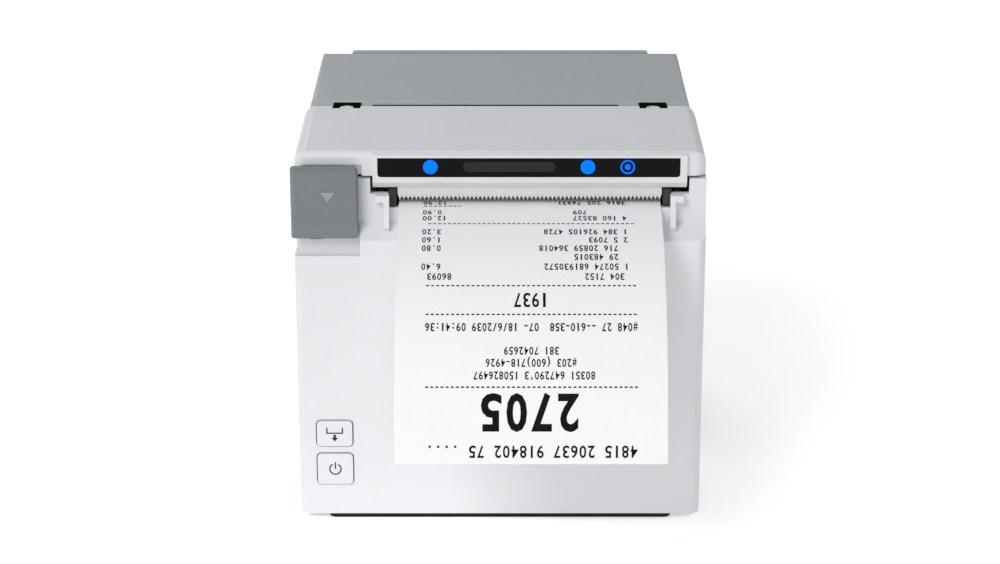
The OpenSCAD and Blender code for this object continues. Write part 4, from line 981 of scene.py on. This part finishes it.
@dataclass
class Studio:
    """Camera, floor and lights around the part."""

    camera_at: tuple[float, float, float] = (0.0, -0.82395, 0.34856)
    pitch: float = math.radians(19.53)
    lens: float = 95.437
    floor_size: float = 14.0
    floor_glow: float = 0.5
    glow_from: float = -0.3
    glow_to: float = -0.07

    def camera(self) -> None:
        """Adds the camera at the photograph's viewing angle."""
        data = bpy.data.cameras.new("view")
        data.lens = self.lens
        data.sensor_width = 36.0
        data.clip_start = 0.01
        data.clip_end = 60.0
        camera = bpy.data.objects.new("view", data)
        camera.location = self.camera_at
        camera.rotation_euler = (math.pi / 2 - self.pitch, 0.0, 0.0)
        bpy.context.scene.collection.objects.link(camera)
        bpy.context.scene.camera = camera

    def floor(self) -> None:
        """Adds a pale floor that glows round and behind the part and stays dull in front of it."""
        deselect()
        bpy.ops.mesh.primitive_plane_add(size=self.floor_size)
        piece = bpy.context.object
        piece.name = "floor"
        finish = Finish("pale_floor", (0.93, 0.93, 0.93), 0.7, soil=0.03,
                        soil_colour=(0.88, 0.88, 0.88), glow=self.floor_glow)
        dress(piece, finish)
        tree = finish.material().node_tree
        coordinate = tree.nodes.new("ShaderNodeTexCoord")
        split = tree.nodes.new("ShaderNodeSeparateXYZ")
        tree.links.new(coordinate.outputs["Object"], split.inputs[0])
        pool = Effects.ranged(tree, split.outputs["Y"], self.glow_from, self.glow_to, 0.0, self.floor_glow)
        tree.links.new(pool.outputs["Result"], tree.nodes["Principled BSDF"].inputs["Emission Strength"])

    @staticmethod
    def area(name: str, at: tuple[float, float, float], aim: tuple[float, float, float], size: float,
             power: float) -> None:
        """Adds a square soft light.

        Args:
            name: Its name.
            at: Its place.
            aim: The point that it faces.
            size: Length of its side.
            power: Its power in watts.
        """
        data = bpy.data.lights.new(name, "AREA")
        data.size = size
        data.energy = power
        light = bpy.data.objects.new(name, data)
        light.location = at
        light.rotation_euler = (Vector(aim) - Vector(at)).to_track_quat("-Z", "Y").to_euler()
        bpy.context.scene.collection.objects.link(light)

    def build(self) -> None:
        """Sets up the whole studio."""
        self.camera()
        self.floor()
        bpy.context.scene.view_settings.view_transform = "Standard"
        world = bpy.data.worlds.new("studio")
        world.use_nodes = True
        back = world.node_tree.nodes["Background"]
        socket_value(back, "Color", (0.94, 0.97, 1.0, 1.0))
        socket_value(back, "Strength", 0.42)
        bpy.context.scene.world = world
        self.area("key", (-0.95, -1.45, 1.55), (0, 0, 0.05), 0.9, 22)
        self.area("front_fill", (-0.2, -2.2, 0.6), (0, 0, 0.06), 1.2, 6.5)
        self.area("back_rim", (-0.6, 1.3, 1.1), (0, 0, 0.1), 0.8, 4)


MOULDINGS = [
    SoftenedCase("front_case", "case", Slot.WHITE, WHITE, 0.45 * MM),
    SoftenedCase("rear_case", "case", Slot.GREY, GREY, 0.4 * MM),
    SoftenedCase("top_cover", "cover", Slot.WHITE, WHITE, 0.3 * MM),
    SoftenedCase("rear_cover", "cover", Slot.GREY, GREY, 0.4 * MM),
    SoftenedCase("open_lever", "lever", Slot.LEVER, LEVER, 0.12 * MM),
    SoftenedCase("feed_button", "feed_key", Slot.WHITE, WHITE, 0.3 * MM),
    SoftenedCase("power_button", "power_key", Slot.WHITE, WHITE, 0.3 * MM),
    SoftenedCase("rear_plate", "case", Slot.GREY, GREY, 0.3 * MM),
    SoftenedCase("base_plate", "case", Slot.DARK, BASE, 0.3 * MM),
    SoftenedCase("paper_roll", "roll", Slot.PAPER, ROLL, 0.0),
    SoftenedCase("roll_core", "roll", Slot.CORE, CORE, 0.0),
    SoftenedCase("platen_roller", "platen", Slot.RUBBER, RUBBER, 0.0),
    SoftenedCase("cover_screws", "cover", Slot.STEEL, ZINC, 0.08 * MM, 2),
    SoftenedCase("lever_arm", "lever", Slot.STEEL, STEEL, 0.1 * MM, 2),
    SoftenedCase("latch_strike", "cover", Slot.STEEL, STEEL, 0.0),
    SoftenedCase("heat_sink", "cover", Slot.ALUMINIUM, ALUMINIUM, 0.12 * MM, 2),
    SoftenedCase("head_bracket", "cover", Slot.STEEL, STEEL, 0.1 * MM, 2),
    SoftenedCase("paper_bucket", "case", Slot.DARK, DARK, 0.2 * MM, 2),
    SoftenedCase("feed_motor", "case", Slot.STEEL, STEEL, 0.15 * MM, 2),
    SoftenedCase("chassis_plates", "case", Slot.STEEL, STEEL, 0.1 * MM, 2),
]

SPRINGS = [
    CoilSpring("head_springs", "cover", [(x * MM, -37.0 * MM, 108.15 * MM) for x in (-18.83, 9.0, 36.83)],
               "Z", 2.2 * MM, 0.35 * MM, 4.0 * MM, 4),
    CoilSpring("lever_spring", "case", [(-54.2 * MM, -12.0 * MM, 100.0 * MM)], "X",
               2.15 * MM, 0.25 * MM, 2.5 * MM, 3),
]


def dress_nodes(frame: dict) -> None:
    """Gives every carried-over node its finish, and the status ring its dark floor.
    """
    for name, finish in NODE_FINISH.items():
        node = frame["nodes"].get(name)
        if node is None:
            continue
        node.data.materials.clear()
        node.data.materials.append(finish.material())
        for polygon in node.data.polygons:
            polygon.material_index = 0
    ring = frame["nodes"]["status_ring"]
    ring.data.materials.append(WINDOW.material())
    for polygon in ring.data.polygons:
        if polygon.center.y > RING_FLOOR and polygon.normal.y < -0.9:
            polygon.material_index = 1


def paint_lever_mark_highlight() -> None:
    """Paints a highlight on the raised arrow on the lever: its front face gets a lighter finish for the light
    it catches.
    """
    piece = bpy.data.objects["open_lever_moulding"]
    piece.data.materials.append(MARK_HIGHLIGHT.material())
    front = min(vertex.co.y for vertex in piece.data.vertices)
    for polygon in piece.data.polygons:
        if polygon.center.y < front + MARK_DEPTH and polygon.normal.y < -0.98:
            polygon.material_index = 1


def main() -> None:
    """Builds the printer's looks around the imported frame."""
    logging.basicConfig(level=logging.INFO)
    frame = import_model()
    Studio().build()
    dress_nodes(frame)
    for moulding in MOULDINGS:
        moulding.build(frame)
    paint_lever_mark_highlight()
    for spring in SPRINGS:
        spring.build()
    SmallParts().build()
    receipt = Receipt()
    receipt.sheet()
    ReceiptPrint(receipt).build()
    ButtonIcons().build()


if __name__ == "__main__":
    main()
